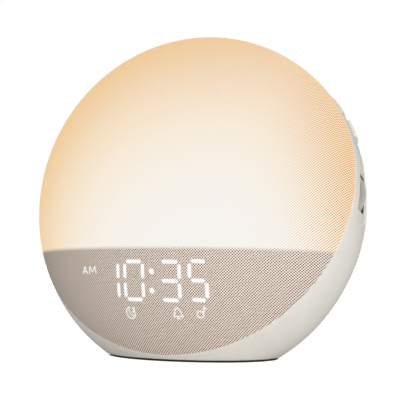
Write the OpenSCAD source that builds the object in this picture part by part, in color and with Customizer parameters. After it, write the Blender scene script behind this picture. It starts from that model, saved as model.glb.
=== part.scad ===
// Sunrise alarm clock: a round, leaning body that stands on a flat foot.
// A woven cover is stretched over a translucent dome in front of a leaning seam.
// A plastic shell closes the rear.
// A level baffle parts the lit upper part from the display below it.
// World axes: +X is the right side seen from the front, -Y is the front, +Z is up.
// The origin lies on the table under the middle of the round body. All lengths are millimetres.

/* [Body] */
// Radius of the round face
body_r = 90; // [86:1:96]
// Half of the body's depth at its middle
body_half_depth = 57; // [54:1:62]
// Backward lean of the round body in degrees
body_lean = 7; // [5:0.5:9]
// Height of the slice that the foot plane takes off the round
base_cut = 12.2; // [11:0.2:14]
// Wall of the rear shell
shell_wall = 2.5; // [2.2:0.1:3]
// Clearance between fixed pieces that fit into each other
fit = 0.15; // [0.1:0.05:0.2]
// Clearance around pieces that move
free_gap = 0.3; // [0.25:0.05:0.4]

/* [Seam and front] */
// Backward lean of the seam in degrees
seam_lean = 19; // [17:0.5:21]
// Distance of the seam in front of the body's middle
seam_offset = 11.5; // [10:0.5:13]
// Open gap that shows as the seam line
seam_gap = 0.4; // [0.2:0.1:0.6]
// Thickness of the woven cover
cover_t = 0.6; // [0.4:0.1:0.8]
// Wall of the translucent dome
dome_wall = 2; // [1.6:0.1:2.4]
// Width of the tongue inside the dome's rim
tongue_w = 1.2; // [1:0.1:1.5]
// Height of the dome's inner rim in front of the seam
rim_h = 4; // [3:0.5:6]
// Depth of the tongue in the front frame's groove
tongue_l = 1.2; // [0.8:0.1:1.5]
// Thin lip of the rear shell around the front frame
lip_wall = 0.9; // [0.8:0.1:1.1]
// Thickness of the front frame
frame_t = 2.4; // [2.2:0.1:3]
// Width of the front frame, from the skin inwards
frame_w = 10; // [9:0.5:11]

/* [Horizon and light] */
// Height of the horizon above the table, at the body's middle
horizon_height = 52; // [50:0.5:54]
// Rise of the horizon towards the front in degrees
horizon_tilt = 3.5; // [2:0.5:5]
// Thickness of the horizon baffle
baffle_t = 1.6; // [1.2:0.1:2]
// Thickness of every circuit board
board_t = 1.6; // [1.2:0.2:2]
// Thickness of the white reflector panel
reflector_t = 1.2; // [1:0.1:1.4]
// Side of a square light package
led_size = 5; // [4:0.5:6]
// Height of a light package
led_h = 1.4; // [1.2:0.1:2]
// Distance between neighbouring light packages
led_pitch = 19; // [18:1:24]

/* [Display] */
// Place of the colon to the right of the middle
display_x = 2; // [0:0.5:4]
// Height of the digits' middle above the table
display_height = 39.7; // [38.5:0.1:40.5]
// Downward tilt of the display in degrees
display_tilt = 12; // [10:0.5:14]
// Depth of the display board behind the skin
display_depth = 16; // [15:0.5:18]
// Width of a digit between its stroke centres
digit_w = 10.2; // [9.6:0.1:10.6]
// Height of a digit between its stroke centres
digit_h = 17; // [16:0.1:17.5]
// Width of a stroke
stroke = 1.65; // [1.4:0.05:1.8]
// Gap between strokes that meet
stroke_gap = 0.9; // [0.7:0.1:1.1]
// Distance between the two digits of a pair
digit_pitch = 13.9; // [13.5:0.1:14.5]
// Distance from the colon to the middle of the digit beside it
colon_space = 9.35; // [9:0.05:10]
// Distance from the colon's middle to each dot
colon_rise = 4.4; // [4:0.1:5]
// Diameter of a colon dot
dot_d = 2.6; // [2.2:0.1:3]
// Side of the window behind an indicator
icon_size = 6; // [5:0.5:7]
// Drop of the lower indicators under the digits' middle
icon_drop = 14.8; // [14:0.1:15.5]
// Distance from the outermost light windows to the edges of the display housing
housing_edge = 7.5; // [7:0.25:8.5]
// Depth of the housing's foot under the digits' middle
housing_drop = 19.5; // [19:0.5:21]

/* [Chassis and rear] */
// Thickness of the chassis plate
chassis_t = 2; // [1.8:0.1:2.4]
// Height of the posts under the main board
post_h = 6; // [5:0.5:8]
// Width of the main board
main_board_w = 72; // [66:1:76]
// Height of the main board
main_board_h = 56; // [52:1:60]
// Shank diameter of the small screws
screw_d = 2.6; // [2.2:0.1:3]
// Head diameter of the small screws
screw_head_d = 4.8; // [4.4:0.1:5.4]
// Head height of the small screws
screw_head_h = 1.5; // [1.2:0.1:1.8]
// Length of the small screws under the head
screw_l = 8; // [7:0.5:9]
// Outer diameter of a screw boss
boss_d = 7; // [6.4:0.1:7.6]

/* [Buttons] */
// Angle of the shoulder buttons above the level, around the seam, in degrees
shoulder_angle = 31.5; // [31:0.25:32.5]
// Length of a shoulder button along the rim
shoulder_l = 10.8; // [10:0.1:11.4]
// Distance between the two shoulder buttons of a side
shoulder_pitch = 16; // [15:0.1:16.6]
// Length of the snooze bar along the rim
snooze_l = 46; // [40:1:50]
// Width of every button, front to rear
pad_w = 9; // [8.4:0.2:10]
// Distance of the buttons' front edges behind the seam
pad_set = 9.3; // [9:0.1:10]
// Corner radius of a button
pad_corner = 1.8; // [1.4:0.1:2.4]
// Height that a button stands proud of the shell
pad_raise = 1.2; // [1:0.1:1.4]
// Travel of a button
pad_travel = 0.6; // [0.4:0.1:0.8]
// Overhang of a button's flange behind the shell
flange_w = 1; // [0.8:0.1:1.1]
// Thickness of a button's flange
flange_t = 1.2; // [1:0.1:1.4]
// Length of a button's stem behind its flange
stem_l = 1.5; // [1.2:0.1:2]
// Side of a tactile switch
switch_size = 6; // [5:0.5:6.5]
// Height of a tactile switch with its plunger
switch_h = 4.3; // [3.8:0.1:4.6]

/* [Dials] */
// Radius of a thumb dial
dial_r = 18; // [17:0.5:18.5]
// Thickness of a thumb dial
dial_t = 9.6; // [8.5:0.1:10]
// Space between a dial and the chassis in front of it
dial_space = 2.1; // [1.9:0.1:2.4]
// Depth of the dial's rim inside the body's widest reach
dial_sink = 0.8; // [0.7:0.1:1.2]
// Height of the dial's axis along the seam above the body's middle
dial_rise = 5; // [4.25:0.25:5.5]
// Half length of the slot that the dial shows through
slot_half = 9.6; // [9:0.1:10.4]
// Drop of the slot's middle under the dial's axis
slot_drop = 0.9; // [0.7:0.1:1.4]
// Open gap between the front of a dial and its slot
slot_front = 1.5; // [1.2:0.1:1.6]
// Width of the thumb recess around a dial
recess_w = 15; // [14:0.5:16]
// Half length of the thumb recess
recess_half = 15.6; // [15:0.2:17]
// Depth of the thumb recess
recess_depth = 0.5; // [0.4:0.1:0.7]
// Number of grip ribs around a dial
dial_ribs = 96; // [84:4:108]
// Depth of the grooves between grip ribs
rib_depth = 0.25; // [0.2:0.05:0.35]
// Diameter of a dial's shaft
dial_shaft_d = 6; // [5:0.5:7]
// Side of a rotary encoder
encoder_size = 12; // [11:0.5:14]
// Depth of a rotary encoder
encoder_t = 6; // [5:0.5:7]

/* [Speaker] */
// Outer radius of the speaker
speaker_r = 28; // [27:0.5:30]
// Radius of the cone with its flat rim
cone_r = 19; // [18:0.5:19.5]
// Radius of the half roll around the cone
roll_r = 2; // [1.8:0.1:2.2]
// Radius of the speaker's magnet
magnet_r = 16; // [15:0.5:17]
// Distance of the speaker's seat in front of the shell's inner pole
speaker_set = 5; // [4.6:0.1:6]
// Depth of the basket from its rim to the magnet
basket_h = 11; // [10:0.5:13]
// Radius of a hole in the grille
grille_hole_r = 1; // [0.8:0.1:1.2]
// Distance between rings of grille holes
grille_pitch = 4.8; // [4.4:0.1:5]
// Rings of grille holes around the middle hole
grille_rings = 4; // [3:1:4]
// Radius of the round speaker lead
lead_r = 1.1; // [0.9:0.1:1.3]

/* [Foot and inlet] */
// Thickness of the rubber foot
foot_h = 1.2; // [1:0.1:1.6]
// Width of the rubber foot's ring
foot_w = 8; // [7:0.5:9]
// Step from the shell's edge in to the rubber foot
foot_step = 1.5; // [1:0.1:2]
// Thickness of the base plate
base_t = 3; // [2.6:0.2:3.4]
// Distance of the base screws to each side
base_screw_x = 29; // [27:0.5:31]
// Distance of the base screws to front and rear of the foot's middle
base_screw_y = 7; // [6:0.5:8]
// Height of the screw towers above the base plate
tower_h = 12; // [10:0.5:14]
// Height of the ballast block
ballast_h = 9; // [7:0.5:10]
// Height of the power inlet above the table
inlet_z = 20; // [19:0.5:21]
// Diameter of the hole for the power plug's grip
inlet_d = 12; // [11:0.5:13]
// Diameter of the inlet's round nose
nose_d = 9; // [8:0.5:9.5]
// Diameter of the inlet's socket
socket_d = 6; // [5.6:0.1:6.6]
// Depth of the inlet's socket
socket_l = 9.5; // [9:0.5:10]

/* [Hidden] */

span = 3 * body_r;                    // larger than the whole clock
round_step = 3;                       // degrees between the rings of a visible round
plain_step = 6;                       // degrees between the rings of a hidden round
half_height = sqrt(pow(body_r * cos(body_lean), 2) + pow(body_half_depth * sin(body_lean), 2));
middle_z = half_height - base_cut;
lean_between = seam_lean - body_lean; // from the round's own axes to the seam's
dome_in = cover_t + dome_wall;        // depth of the dome's inner face under the skin
tongue_in = dome_in + tongue_w;       // depth of the tongue's inner face under the skin

// Places along the seam's own Y axis, which points to the rear
front_rim_y = -seam_offset - seam_gap / 2;
shell_rim_y = -seam_offset + seam_gap / 2;
frame_rear_y = -seam_offset + frame_t;
chassis_rear_y = frame_rear_y + chassis_t;
led_board_y = frame_rear_y - board_t;
main_board_y = chassis_rear_y + post_h;
pad_y = shell_rim_y + pad_set + pad_w / 2;
dial_y = chassis_rear_y + dial_space;
dial_rear_y = dial_y + dial_t;
bracket_y = dial_rear_y + free_gap + encoder_t;
bracket_t = 2;

// Levels of the foot, from the table up
plate_top_z = foot_h + base_t;
power_board_z = inlet_z - nose_d / 2 - board_t;

// Places along the speaker's axis, which runs to the rear from the body's middle
speaker_seat = body_half_depth - shell_wall - speaker_set;
gasket_t = 1;
roll_t = 0.5;
basket_flange_t = 2;
basket_top = speaker_seat - gasket_t - roll_t;
motor_top = basket_top - basket_flange_t - basket_h;
ear_r = speaker_r + 3;                // distance of the speaker's screws from its axis

main_board_drop = 8;                  // drop of the main board's middle under the body's middle
main_board_inset = 4;                 // screws of the main board from its edges
boss_spots = [[56.3, 18], [-40.4, 19]]; // angle around the seam and distance inside the round
boss_places = [
    for (spot = boss_spots, side = [1, -1])
        (body_r - spot[1]) * [side * cos(spot[0]), sin(spot[0])]
];
frame_screw_angles = [55, 125, 205, 335, 240, 300];
frame_screw_edge = 3.6;               // distance of the frame screws outside the frame's inner edge
frame_screw_inset = frame_w - frame_screw_edge;
frame_screw_l = chassis_rear_y - front_rim_y - tongue_l - 2 * fit;

// Places of the digits and of the small windows from the colon; the display housing reaches round them
digit_places = [-colon_space - digit_pitch, -colon_space, colon_space, colon_space + digit_pitch];
icon_places = [[-13.9, -icon_drop], [11.1, -icon_drop], [22.8, -icon_drop], [-36.5, 0.8]];
housing_left = min([for (p = icon_places) p[0]]) - icon_size / 2 - housing_edge;
housing_right = max(digit_places) + (digit_w + stroke) / 2 + housing_edge;
housing_w = housing_right - housing_left;
display_screw_l = 12;
display_screw_seat = 2.2;             // height of the screws' seat in front of the display board
display_screw_low = [9, 6];           // how far in from the edges the two lower screws stand
display_screw_spots = [
    [housing_left + housing_edge / 2, 2], [housing_right - housing_edge / 2, 2],
    [housing_left + display_screw_low[0], -15.5], [housing_right - display_screw_low[1], -15.5]
];

// Cuts of the round by a level plane: an ellipse with this middle and these half axes
k_yy = pow(cos(body_lean) / body_half_depth, 2) + pow(sin(body_lean) / body_r, 2);
k_zz = pow(sin(body_lean) / body_half_depth, 2) + pow(cos(body_lean) / body_r, 2);
k_yz = sin(body_lean) * cos(body_lean) * (1 / pow(body_r, 2) - 1 / pow(body_half_depth, 2));
function cut_part(z) = 1 - pow(z - middle_z, 2) * (k_zz - k_yz * k_yz / k_yy);
function cut_y(z) = -k_yz / k_yy * (z - middle_z);
function cut_rx(z) = body_r * sqrt(cut_part(z));
function cut_ry(z) = sqrt(cut_part(z) / k_yy);
foot_y = cut_y(foot_h);

// Distance from the seam's Y axis to the round, at an angle around it and a place along it
function rim_reach(angle, y, inset) =
    let (r = body_r - inset, h = body_half_depth - inset, s = sin(lean_between), c = cos(lean_between),
        a = (pow(cos(angle), 2) + pow(sin(angle) * c, 2)) / pow(r, 2) + pow(sin(angle) * s / h, 2),
        b = 2 * y * s * c * sin(angle) * (1 / pow(h, 2) - 1 / pow(r, 2)),
        e = pow(y * s / r, 2) + pow(y * c / h, 2) - 1)
    (sqrt(b * b - 4 * a * e) - b) / (2 * a);

function frame_screw_place(a) = rim_reach(a, chassis_rear_y, frame_screw_inset) * [cos(a), sin(a)];

// Places of the light packages on their board, clear of the boss screws
led_reach = body_r - frame_w - led_pitch / 2;
led_low = (horizon_height - middle_z) / cos(seam_lean) + led_size + baffle_t;
led_places = [
    for (i = [-4 : 4], j = [0 : 6])
        let (x = i * led_pitch, z = led_low + j * led_pitch)
        if (norm([x, z]) < led_reach && min([for (b = boss_places) norm([x, z] - b)]) > led_size + boss_d / 2)
            [x, z]
];

// ---- Frames of reference ----
module in_body() translate([0, 0, middle_z]) rotate([-body_lean, 0, 0]) children();
module in_seam() translate([0, 0, middle_z]) rotate([-seam_lean, 0, 0]) children();
// X outwards through the rim at this angle, Y to the rear, Z along the rim
module at_rim(angle) in_seam() rotate([0, -angle, 0]) children();
// Z to the rear along the round's axis
module on_speaker_axis() in_body() rotate([-90, 0, 0]) children();
// X and Z in the plane of the display, Y to the rear from the skin in front of the colon
module in_display() {
    translate([display_x, cut_y(display_height) - cut_ry(display_height), display_height])
        rotate([display_tilt, 0, 0]) children();
}
// A straight bar along Y at a place in the seam's plane
module seam_bar(place, y0, y1, d) {
    in_seam() translate([place[0], y0, place[1]]) rotate([-90, 0, 0])
        cylinder(h = y1 - y0, d = d, $fn = 32);
}
module both_sides() {
    children();
    mirror([1, 0, 0]) children();
}

// ---- Basic forms ----
// The flattened round, this far under the skin
module round_body(inset, step = round_step) {
    r = body_r - inset;
    h = body_half_depth - inset;
    in_body() rotate([90, 0, 0]) rotate_extrude($fn = 180)
        polygon([for (a = [0 : step : 180]) [r * sin(a), h * cos(a)]]);
}
// The space between two planes parallel to the seam
module seam_slab(y0, y1) in_seam() translate([-span, y0, -span]) cube([2 * span, y1 - y0, 2 * span]);
// The space between two level planes
module level_slab(z0, z1) translate([-span, -span, z0]) cube([2 * span, 2 * span, z1 - z0]);
// The space between two planes parallel to the horizon, measured from it
module horizon_slab(z0, z1) {
    translate([0, 0, horizon_height]) rotate([-horizon_tilt, 0, 0]) level_slab(z0, z1);
}
module rounded_rectangle(w, h, r) {
    square([w - 2 * r, h], center = true);
    square([w, h - 2 * r], center = true);
    for (x = [-1, 1], y = [-1, 1])
        translate([x * (w / 2 - r), y * (h / 2 - r)]) circle(r, $fn = 32);
}
module oval(rx, ry) polygon([for (a = [0 : 5 : 355]) [rx * cos(a), ry * sin(a)]]);
// A ring around the speaker's axis
module ring(r0, r1, z0, z1) {
    translate([0, 0, z0]) difference() {
        cylinder(h = z1 - z0, r = r1, $fn = 96);
        translate([0, 0, -1]) cylinder(h = z1 - z0 + 2, r = r0, $fn = 96);
    }
}
// A screw whose head stands on the plane z = 0 and whose shank goes down
module screw(length = screw_l, head_d = screw_head_d) {
    difference() {
        union() {
            cylinder(h = screw_head_h, d = head_d, $fn = 32);
            translate([0, 0, -length]) cylinder(h = length + screw_head_h / 2, d = screw_d, $fn = 32);
        }
        for (turn = [0, 90])
            rotate(turn) translate([0, 0, screw_head_h]) cube([head_d * 0.6, 0.6, 1.2], center = true);
    }
}
// Its hole, with the same clearance everywhere
module screw_hole(length = screw_l, head_d = screw_head_d) {
    translate([0, 0, -length - 2 * fit]) cylinder(h = length + 3 * fit, d = screw_d + 2 * fit, $fn = 32);
    cylinder(h = screw_head_h + 2 * fit, d = head_d + 4 * fit, $fn = 32);
}

// ---- Front ----
module fabric_cover() {
    color([0.93, 0.86, 0.78]) difference() {
        round_body(0);
        round_body(cover_t);
        seam_slab(front_rim_y, span);
    }
}
module diffuser_dome() {
    color([0.97, 0.96, 0.93]) union() {
        difference() {
            round_body(cover_t);
            round_body(dome_in);
            seam_slab(front_rim_y, span);
        }
        difference() {
            round_body(dome_in - 0.4);
            round_body(tongue_in);
            seam_slab(-span, front_rim_y - rim_h);
            seam_slab(front_rim_y + tongue_l, span);
        }
    }
}
module front_frame() {
    color([0.75, 0.74, 0.71]) difference() {
        round_body(lip_wall + fit);
        round_body(frame_w, plain_step);
        seam_slab(-span, front_rim_y);
        seam_slab(frame_rear_y, span);
        difference() {
            round_body(dome_in - 0.4 - fit);
            round_body(tongue_in + fit);
            seam_slab(-span, front_rim_y - 1);
            seam_slab(front_rim_y + tongue_l + fit, span);
        }
        for (a = frame_screw_angles) seam_bar(frame_screw_place(a), -span, span, screw_d + 2 * fit);
    }
}
module horizon_baffle() {
    color("white") difference() {
        intersection() {
            round_body(dome_in + fit, plain_step);
            horizon_slab(-baffle_t / 2, baffle_t / 2);
        }
        seam_slab(frame_rear_y, span);
        difference() {
            seam_slab(front_rim_y - rim_h - fit, 0);
            round_body(frame_w + fit, plain_step);
        }
    }
}
// A panel across the mouth of the front frame, above the horizon
module light_panel(y0, y1, hole) {
    difference() {
        intersection() {
            round_body(frame_w + fit, plain_step);
            seam_slab(y0, y1);
            horizon_slab(baffle_t / 2 + fit, span);
        }
        if (hole > 0)
            for (p = boss_places) seam_bar(p, -span / 2, 0, hole);
    }
}
module led_board() color("white") light_panel(led_board_y, frame_rear_y, screw_head_d + 4 * fit);
module sunrise_leds() {
    color("gold") for (p = led_places)
        in_seam() translate([p[0] - led_size / 2, led_board_y - led_h, p[1] - led_size / 2])
            cube([led_size, led_h, led_size]);
}
module reflector_panel() {
    window = led_size + 2 * free_gap;
    color("white") difference() {
        light_panel(led_board_y - reflector_t, led_board_y, 0);
        for (p = led_places)
            in_seam() translate([p[0] - window / 2, -seam_offset - 10, p[1] - window / 2])
                cube([window, 20, window]);
    }
}

// ---- Display ----
segments = [ // middle across, middle up, and whether the stroke lies level
    [0, 1, true], [0, 0, true], [0, -1, true],
    [-1, 0.5, false], [1, 0.5, false], [-1, -0.5, false], [1, -0.5, false]
];
// One straight stroke, from y0 to y1 through the display
module stroke_bar(part, y0, y1, grow) {
    long = part[2] ? digit_w - stroke - stroke_gap : (digit_h + stroke) / 2 - stroke_gap;
    x = part[0] * digit_w / 2;
    z = part[2] ? part[1] * digit_h / 2 : sign(part[1]) * (stroke_gap + long) / 2;
    w = (part[2] ? long : stroke) + 2 * grow;
    h = (part[2] ? stroke : long) + 2 * grow;
    translate([x - w / 2, y0, z - h / 2]) cube([w, y1 - y0, h]);
}
module digit_bars(y0, y1, grow) {
    for (d = digit_places, part = segments)
        translate([d, 0, 0]) stroke_bar(part, y0, y1, grow);
    for (z = [-1, 1])
        translate([0, y0, z * colon_rise]) rotate([-90, 0, 0])
            cylinder(h = y1 - y0, d = dot_d + 2 * grow, $fn = 32);
}
module icon_bars(y0, y1, grow) {
    w = icon_size + 2 * grow;
    for (p = icon_places) translate([p[0] - w / 2, y0, p[1] - w / 2]) cube([w, y1 - y0, w]);
}
module display_screw_places() {
    for (p = display_screw_spots)
        in_display() translate([p[0], display_depth - display_screw_seat, p[1]]) rotate([90, 0, 0]) children();
}
// What the display gives up to the baffle above it and to the dome's rim around it
module below_baffle_cut() horizon_slab(-baffle_t / 2 - fit, span);
module rim_cut() {
    difference() {
        seam_slab(front_rim_y - rim_h - fit, span);
        round_body(tongue_in + fit, plain_step);
    }
}
module display_housing() {
    color([0.12, 0.12, 0.13]) difference() {
        intersection() {
            round_body(dome_in + fit);
            in_display() translate([housing_left, 0, -housing_drop])
                cube([housing_w, display_depth, 2 * housing_drop]);
        }
        below_baffle_cut();
        rim_cut();
        in_display() digit_bars(-1, display_depth + 1, fit);
        in_display() icon_bars(-1, display_depth + 1, fit);
        display_screw_places() screw_hole(display_screw_l);
        display_screw_places() cylinder(h = 20, d = screw_head_d + 4 * fit, $fn = 32);
    }
}
// Clear bars from the small lamps to the dome's inner face
module digit_light_guides() {
    color([0.95, 0.97, 1]) intersection() {
        round_body(dome_in + fit);
        in_display() digit_bars(0, display_depth - 1, 0);
    }
}
module indicator_light_guides() {
    color([0.95, 0.97, 1]) intersection() {
        round_body(dome_in + fit);
        in_display() icon_bars(0, display_depth - 1, 0);
    }
}
module display_leds() {
    lamp = [1.2, 0.7, 0.8];
    color("khaki") in_display() {
        for (d = digit_places, part = segments) {
            x = d + part[0] * digit_w / 2;
            z = part[1] * digit_h / 2;
            translate([x - lamp[0] / 2, display_depth - lamp[1], z - lamp[2] / 2]) cube(lamp);
        }
        for (z = [-1, 1])
            translate([-lamp[0] / 2, display_depth - lamp[1], z * colon_rise - lamp[2] / 2]) cube(lamp);
        for (p = icon_places)
            translate([p[0] - lamp[0] / 2, display_depth - lamp[1], p[1] - lamp[2] / 2]) cube(lamp);
    }
}
module display_board() {
    color("darkgreen") difference() {
        in_display() translate([housing_left, display_depth, -housing_drop])
            cube([housing_w, board_t, 2 * housing_drop]);
        below_baffle_cut();
        rim_cut();
        display_screw_places() screw_hole(display_screw_l);
    }
}
module display_screws() color("silver") display_screw_places() screw(display_screw_l);
// Posts that carry the display on the chassis
module display_posts() {
    difference() {
        for (p = display_screw_spots)
            in_display() translate([p[0], display_depth + board_t, p[1]]) rotate([-90, 0, 0])
                cylinder(h = body_half_depth, d = boss_d, $fn = 32);
        seam_slab(frame_rear_y + chassis_t / 2, span);
        below_baffle_cut();
        rim_cut();
        difference() {
            seam_slab(front_rim_y, frame_rear_y);
            round_body(frame_w + fit, plain_step);
        }
    }
}
ribbon_w = 14;
ribbon_t = 0.4;
ribbon_x = 12;
// A flat cable bent along a path of points in the YZ plane
module ribbon(points, grow) {
    t = ribbon_t + 2 * grow;
    translate([ribbon_x - ribbon_w / 2 - grow, 0, 0]) rotate([90, 0, 90]) linear_extrude(ribbon_w + 2 * grow) {
        for (i = [0 : len(points) - 2]) {
            way = points[i + 1] - points[i];
            translate(points[i]) rotate(atan2(way[1], way[0])) translate([0, -t / 2]) square([norm(way), t]);
        }
        for (i = [1 : len(points) - 2]) translate(points[i]) circle(d = t, $fn = 24);
    }
}
// A point of the display's or the seam's own plane, as world Y and Z
function display_yz(y, z) = [
    cut_y(display_height) - cut_ry(display_height) + y * cos(display_tilt) - z * sin(display_tilt),
    display_height + y * sin(display_tilt) + z * cos(display_tilt)
];
function seam_yz(y, z) = [
    y * cos(seam_lean) + z * sin(seam_lean),
    middle_z - y * sin(seam_lean) + z * cos(seam_lean)
];
ribbon_start_z = -4;                  // where it leaves the display board
ribbon_pass_z = -main_board_drop - main_board_h / 2 - 7;
ribbon_window = [ribbon_w + 4, 6];    // its opening in the chassis
ribbon_path = [
    display_yz(display_depth + board_t, ribbon_start_z),
    display_yz(display_depth + board_t + 5, ribbon_start_z),
    seam_yz(frame_rear_y - 4, ribbon_pass_z),
    seam_yz(chassis_rear_y + 3, ribbon_pass_z),
    seam_yz(main_board_y - ribbon_t, -main_board_drop - main_board_h / 2 + 6)
];
module display_ribbon() color("ivory") ribbon(ribbon_path, 0);

// ---- Chassis and electronics ----
// Flat shelf of the chassis that carries a key board
module key_shelf(angle, length) {
    at_rim(angle) translate([key_shelf_x(angle), chassis_rear_y - chassis_t / 2, -length / 2])
        cube([chassis_t, pad_y + switch_size / 2 - chassis_rear_y + chassis_t / 2, length]);
}
module chassis() {
    post_x = main_board_w / 2 - main_board_inset;
    post_z = main_board_h / 2 - main_board_inset;
    color("dimgray") difference() {
        union() {
            intersection() {
                round_body(shell_wall + fit);
                seam_slab(frame_rear_y, chassis_rear_y);
            }
            display_posts();
            for (x = [-post_x, post_x], z = [-post_z, post_z])
                seam_bar([x, z - main_board_drop], frame_rear_y, main_board_y, boss_d);
            both_sides() key_shelf(shoulder_angle, shoulder_shelf_l);
            key_shelf(90, snooze_shelf_l);
            both_sides() for (p = bracket_spots) seam_bar(p, frame_rear_y, bracket_y, boss_d);
        }
        for (x = [-post_x, post_x], z = [-post_z, post_z])
            seam_bar([x, z - main_board_drop], main_board_y - screw_l, span, screw_d + 2 * fit);
        for (a = frame_screw_angles) seam_bar(frame_screw_place(a), -span, span, screw_d + 2 * fit);
        for (p = boss_places) seam_bar(p, -span, span, screw_d + 2 * fit);
        both_sides() for (p = bracket_spots) seam_bar(p, bracket_y - screw_l, span, screw_d + 2 * fit);
        display_screw_places() screw_hole(display_screw_l);
        in_seam() translate([ribbon_x, chassis_rear_y, ribbon_pass_z])
            cube([ribbon_window[0], 2 * chassis_t + 2, ribbon_window[1]], center = true);
    }
}
// Screws that clamp the chassis to the front frame, from the rear
module frame_screws() {
    color("silver") for (a = frame_screw_angles)
        in_seam() translate([frame_screw_place(a)[0], chassis_rear_y, frame_screw_place(a)[1]])
            rotate([-90, 0, 0]) screw(frame_screw_l);
}
// Screws that hold the dial brackets on their posts
module bracket_screws() {
    color("silver") both_sides() for (p = bracket_spots)
        in_seam() translate([p[0], bracket_y + bracket_t, p[1]]) rotate([-90, 0, 0]) screw();
}
// Screws that hold the chassis on the rear shell's long bosses, from the front
module boss_screws() {
    color("silver") for (p = boss_places)
        in_seam() translate([p[0], frame_rear_y, p[1]]) rotate([90, 0, 0]) screw();
}
module main_board() {
    color("darkgreen") difference() {
        in_seam() translate([-main_board_w / 2, main_board_y, -main_board_h / 2 - main_board_drop])
            cube([main_board_w, board_t, main_board_h]);
        board_screw_places() screw_hole();
    }
}
module board_screw_places() {
    x = main_board_w / 2 - main_board_inset;
    z = main_board_h / 2 - main_board_inset;
    for (i = [-1, 1], j = [-1, 1])
        in_seam() translate([i * x, main_board_y + board_t, j * z - main_board_drop])
            rotate([-90, 0, 0]) children();
}
module board_screws() color("silver") board_screw_places() screw(screw_l - 2);
lead_socket = [-20, -22];             // place of the speaker's socket on the main board
socket_rise = 5;
// A part that stands on the main board's rear face
module on_main_board(x, z) in_seam() translate([x, main_board_y + board_t, z - main_board_drop]) children();
processor = [14, 1.2, 14];
amplifier = [18, 2.4, 12];
memory = [8, 1.6, 5];
light_driver = [5, 1.4, 8];
ribbon_socket = [8, socket_rise, 4];
// A block on the main board, placed by shares of the board's half width and half height
module board_block(across, up, size) {
    on_main_board(across * main_board_w / 2, up * main_board_h / 2)
        translate([-size[0] / 2, 0, -size[2] / 2]) cube(size);
}
module main_board_parts() {
    color([0.15, 0.15, 0.17]) {
        board_block(-0.22, -0.07, processor);
        board_block(-0.56, 0.46, amplifier);
        board_block(0.33, 0.6, memory);
        board_block(-0.72, -0.29, light_driver);
        board_block(0.17, -0.71, ribbon_socket);
        on_main_board(lead_socket[0], lead_socket[1]) translate([-5, 0, -2]) cube([10, socket_rise, 4]);
    }
}
cell_d = 20;
cell_t = 3.2;
cell_wall = 1.2;
module cell_holder() {
    side = cell_d + 2 * fit + 2 * cell_wall;
    color("black") on_main_board(20, -2) difference() {
        translate([-side / 2, 0, -side / 2]) cube([side, cell_t + cell_wall, side]);
        translate([0, cell_wall, 0]) rotate([-90, 0, 0]) cylinder(h = span, d = cell_d + 2 * fit, $fn = 64);
        translate([-3, cell_wall, 0]) cube([6, span, side]);
    }
}
module coin_cell() {
    color("silver") on_main_board(20, -2) translate([0, cell_wall, 0]) rotate([-90, 0, 0])
        cylinder(h = cell_t, d = cell_d, $fn = 64);
}

// ---- Rear shell and foot ----
module speaker_boss() {
    on_speaker_axis() {
        ring(speaker_r - 5, speaker_r, speaker_seat, body_half_depth);
        for (a = [45 : 90 : 315])
            rotate(a) translate([ear_r, 0, basket_top]) cylinder(h = span, d = boss_d - 1, $fn = 32);
    }
}
module tower(x, y) {
    translate([x, y, plate_top_z]) cylinder(h = tower_h, d = boss_d, $fn = 32);
    translate([x > 0 ? x : x - span, y - 1, plate_top_z]) cube([span, 2, tower_h]);
}
module rear_shell() {
    inlet_y = cut_y(inlet_z) + cut_ry(inlet_z);
    color([0.80, 0.79, 0.76]) difference() {
        union() {
            difference() {
                round_body(0);
                round_body(shell_wall);
            }
            intersection() {
                round_body(shell_wall / 2);
                union() {
                    for (p = boss_places) seam_bar(p, chassis_rear_y, span, boss_d);
                    speaker_boss();
                    for (x = [-base_screw_x, base_screw_x], y = [-base_screw_y, base_screw_y])
                        tower(x, foot_y + y);
                }
            }
        }
        seam_slab(-span, shell_rim_y);
        intersection() {
            round_body(lip_wall);
            seam_slab(-span, frame_rear_y);
        }
        level_slab(-span, foot_h);
        for (p = boss_places) seam_bar(p, chassis_rear_y - 1, chassis_rear_y + screw_l, screw_d + 2 * fit);
        on_speaker_axis() for (a = [45 : 90 : 315])
            rotate(a) translate([ear_r, 0, basket_top - 1]) cylinder(h = 5, d = screw_d + 2 * fit, $fn = 32);
        base_screw_places() screw_hole();
        both_sides() for (side = [-1, 1])
            button_opening(shoulder_angle, side * shoulder_pitch / 2, shoulder_l);
        button_opening(90, 0, snooze_l);
        both_sides() in_seam() translate([body_r / 2, dial_y - slot_front, slot_z - slot_half])
            cube([body_r, slot_w, 2 * slot_half]);
        // Room for the wheel under the wall, past the slot's upper end
        both_sides() in_seam() translate([dial_x, dial_y - slot_front, dial_rise]) rotate([-90, 0, 0])
            cylinder(h = slot_w, r = dial_r + free_gap, $fn = 96);
        both_sides() difference() {
            in_seam() translate([body_r / 2, dial_y - slot_front - free_gap + recess_w / 2, slot_z])
                rotate([0, 90, 0]) linear_extrude(body_r)
                    rounded_rectangle(2 * recess_half, recess_w, recess_w / 2 - 0.1);
            round_body(recess_depth);
        }
        translate([0, inlet_y, inlet_z]) rotate([90, 0, 0])
            cylinder(h = 20, d = inlet_d, center = true, $fn = 64);
        on_speaker_axis() {
            cylinder(h = span, r = grille_hole_r, $fn = 24);
            for (ring_no = [1 : grille_rings], i = [0 : 6 * ring_no - 1])
                rotate(i * 60 / ring_no) translate([ring_no * grille_pitch, 0, 0])
                    cylinder(h = span, r = grille_hole_r, $fn = 24);
        }
    }
}
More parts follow.
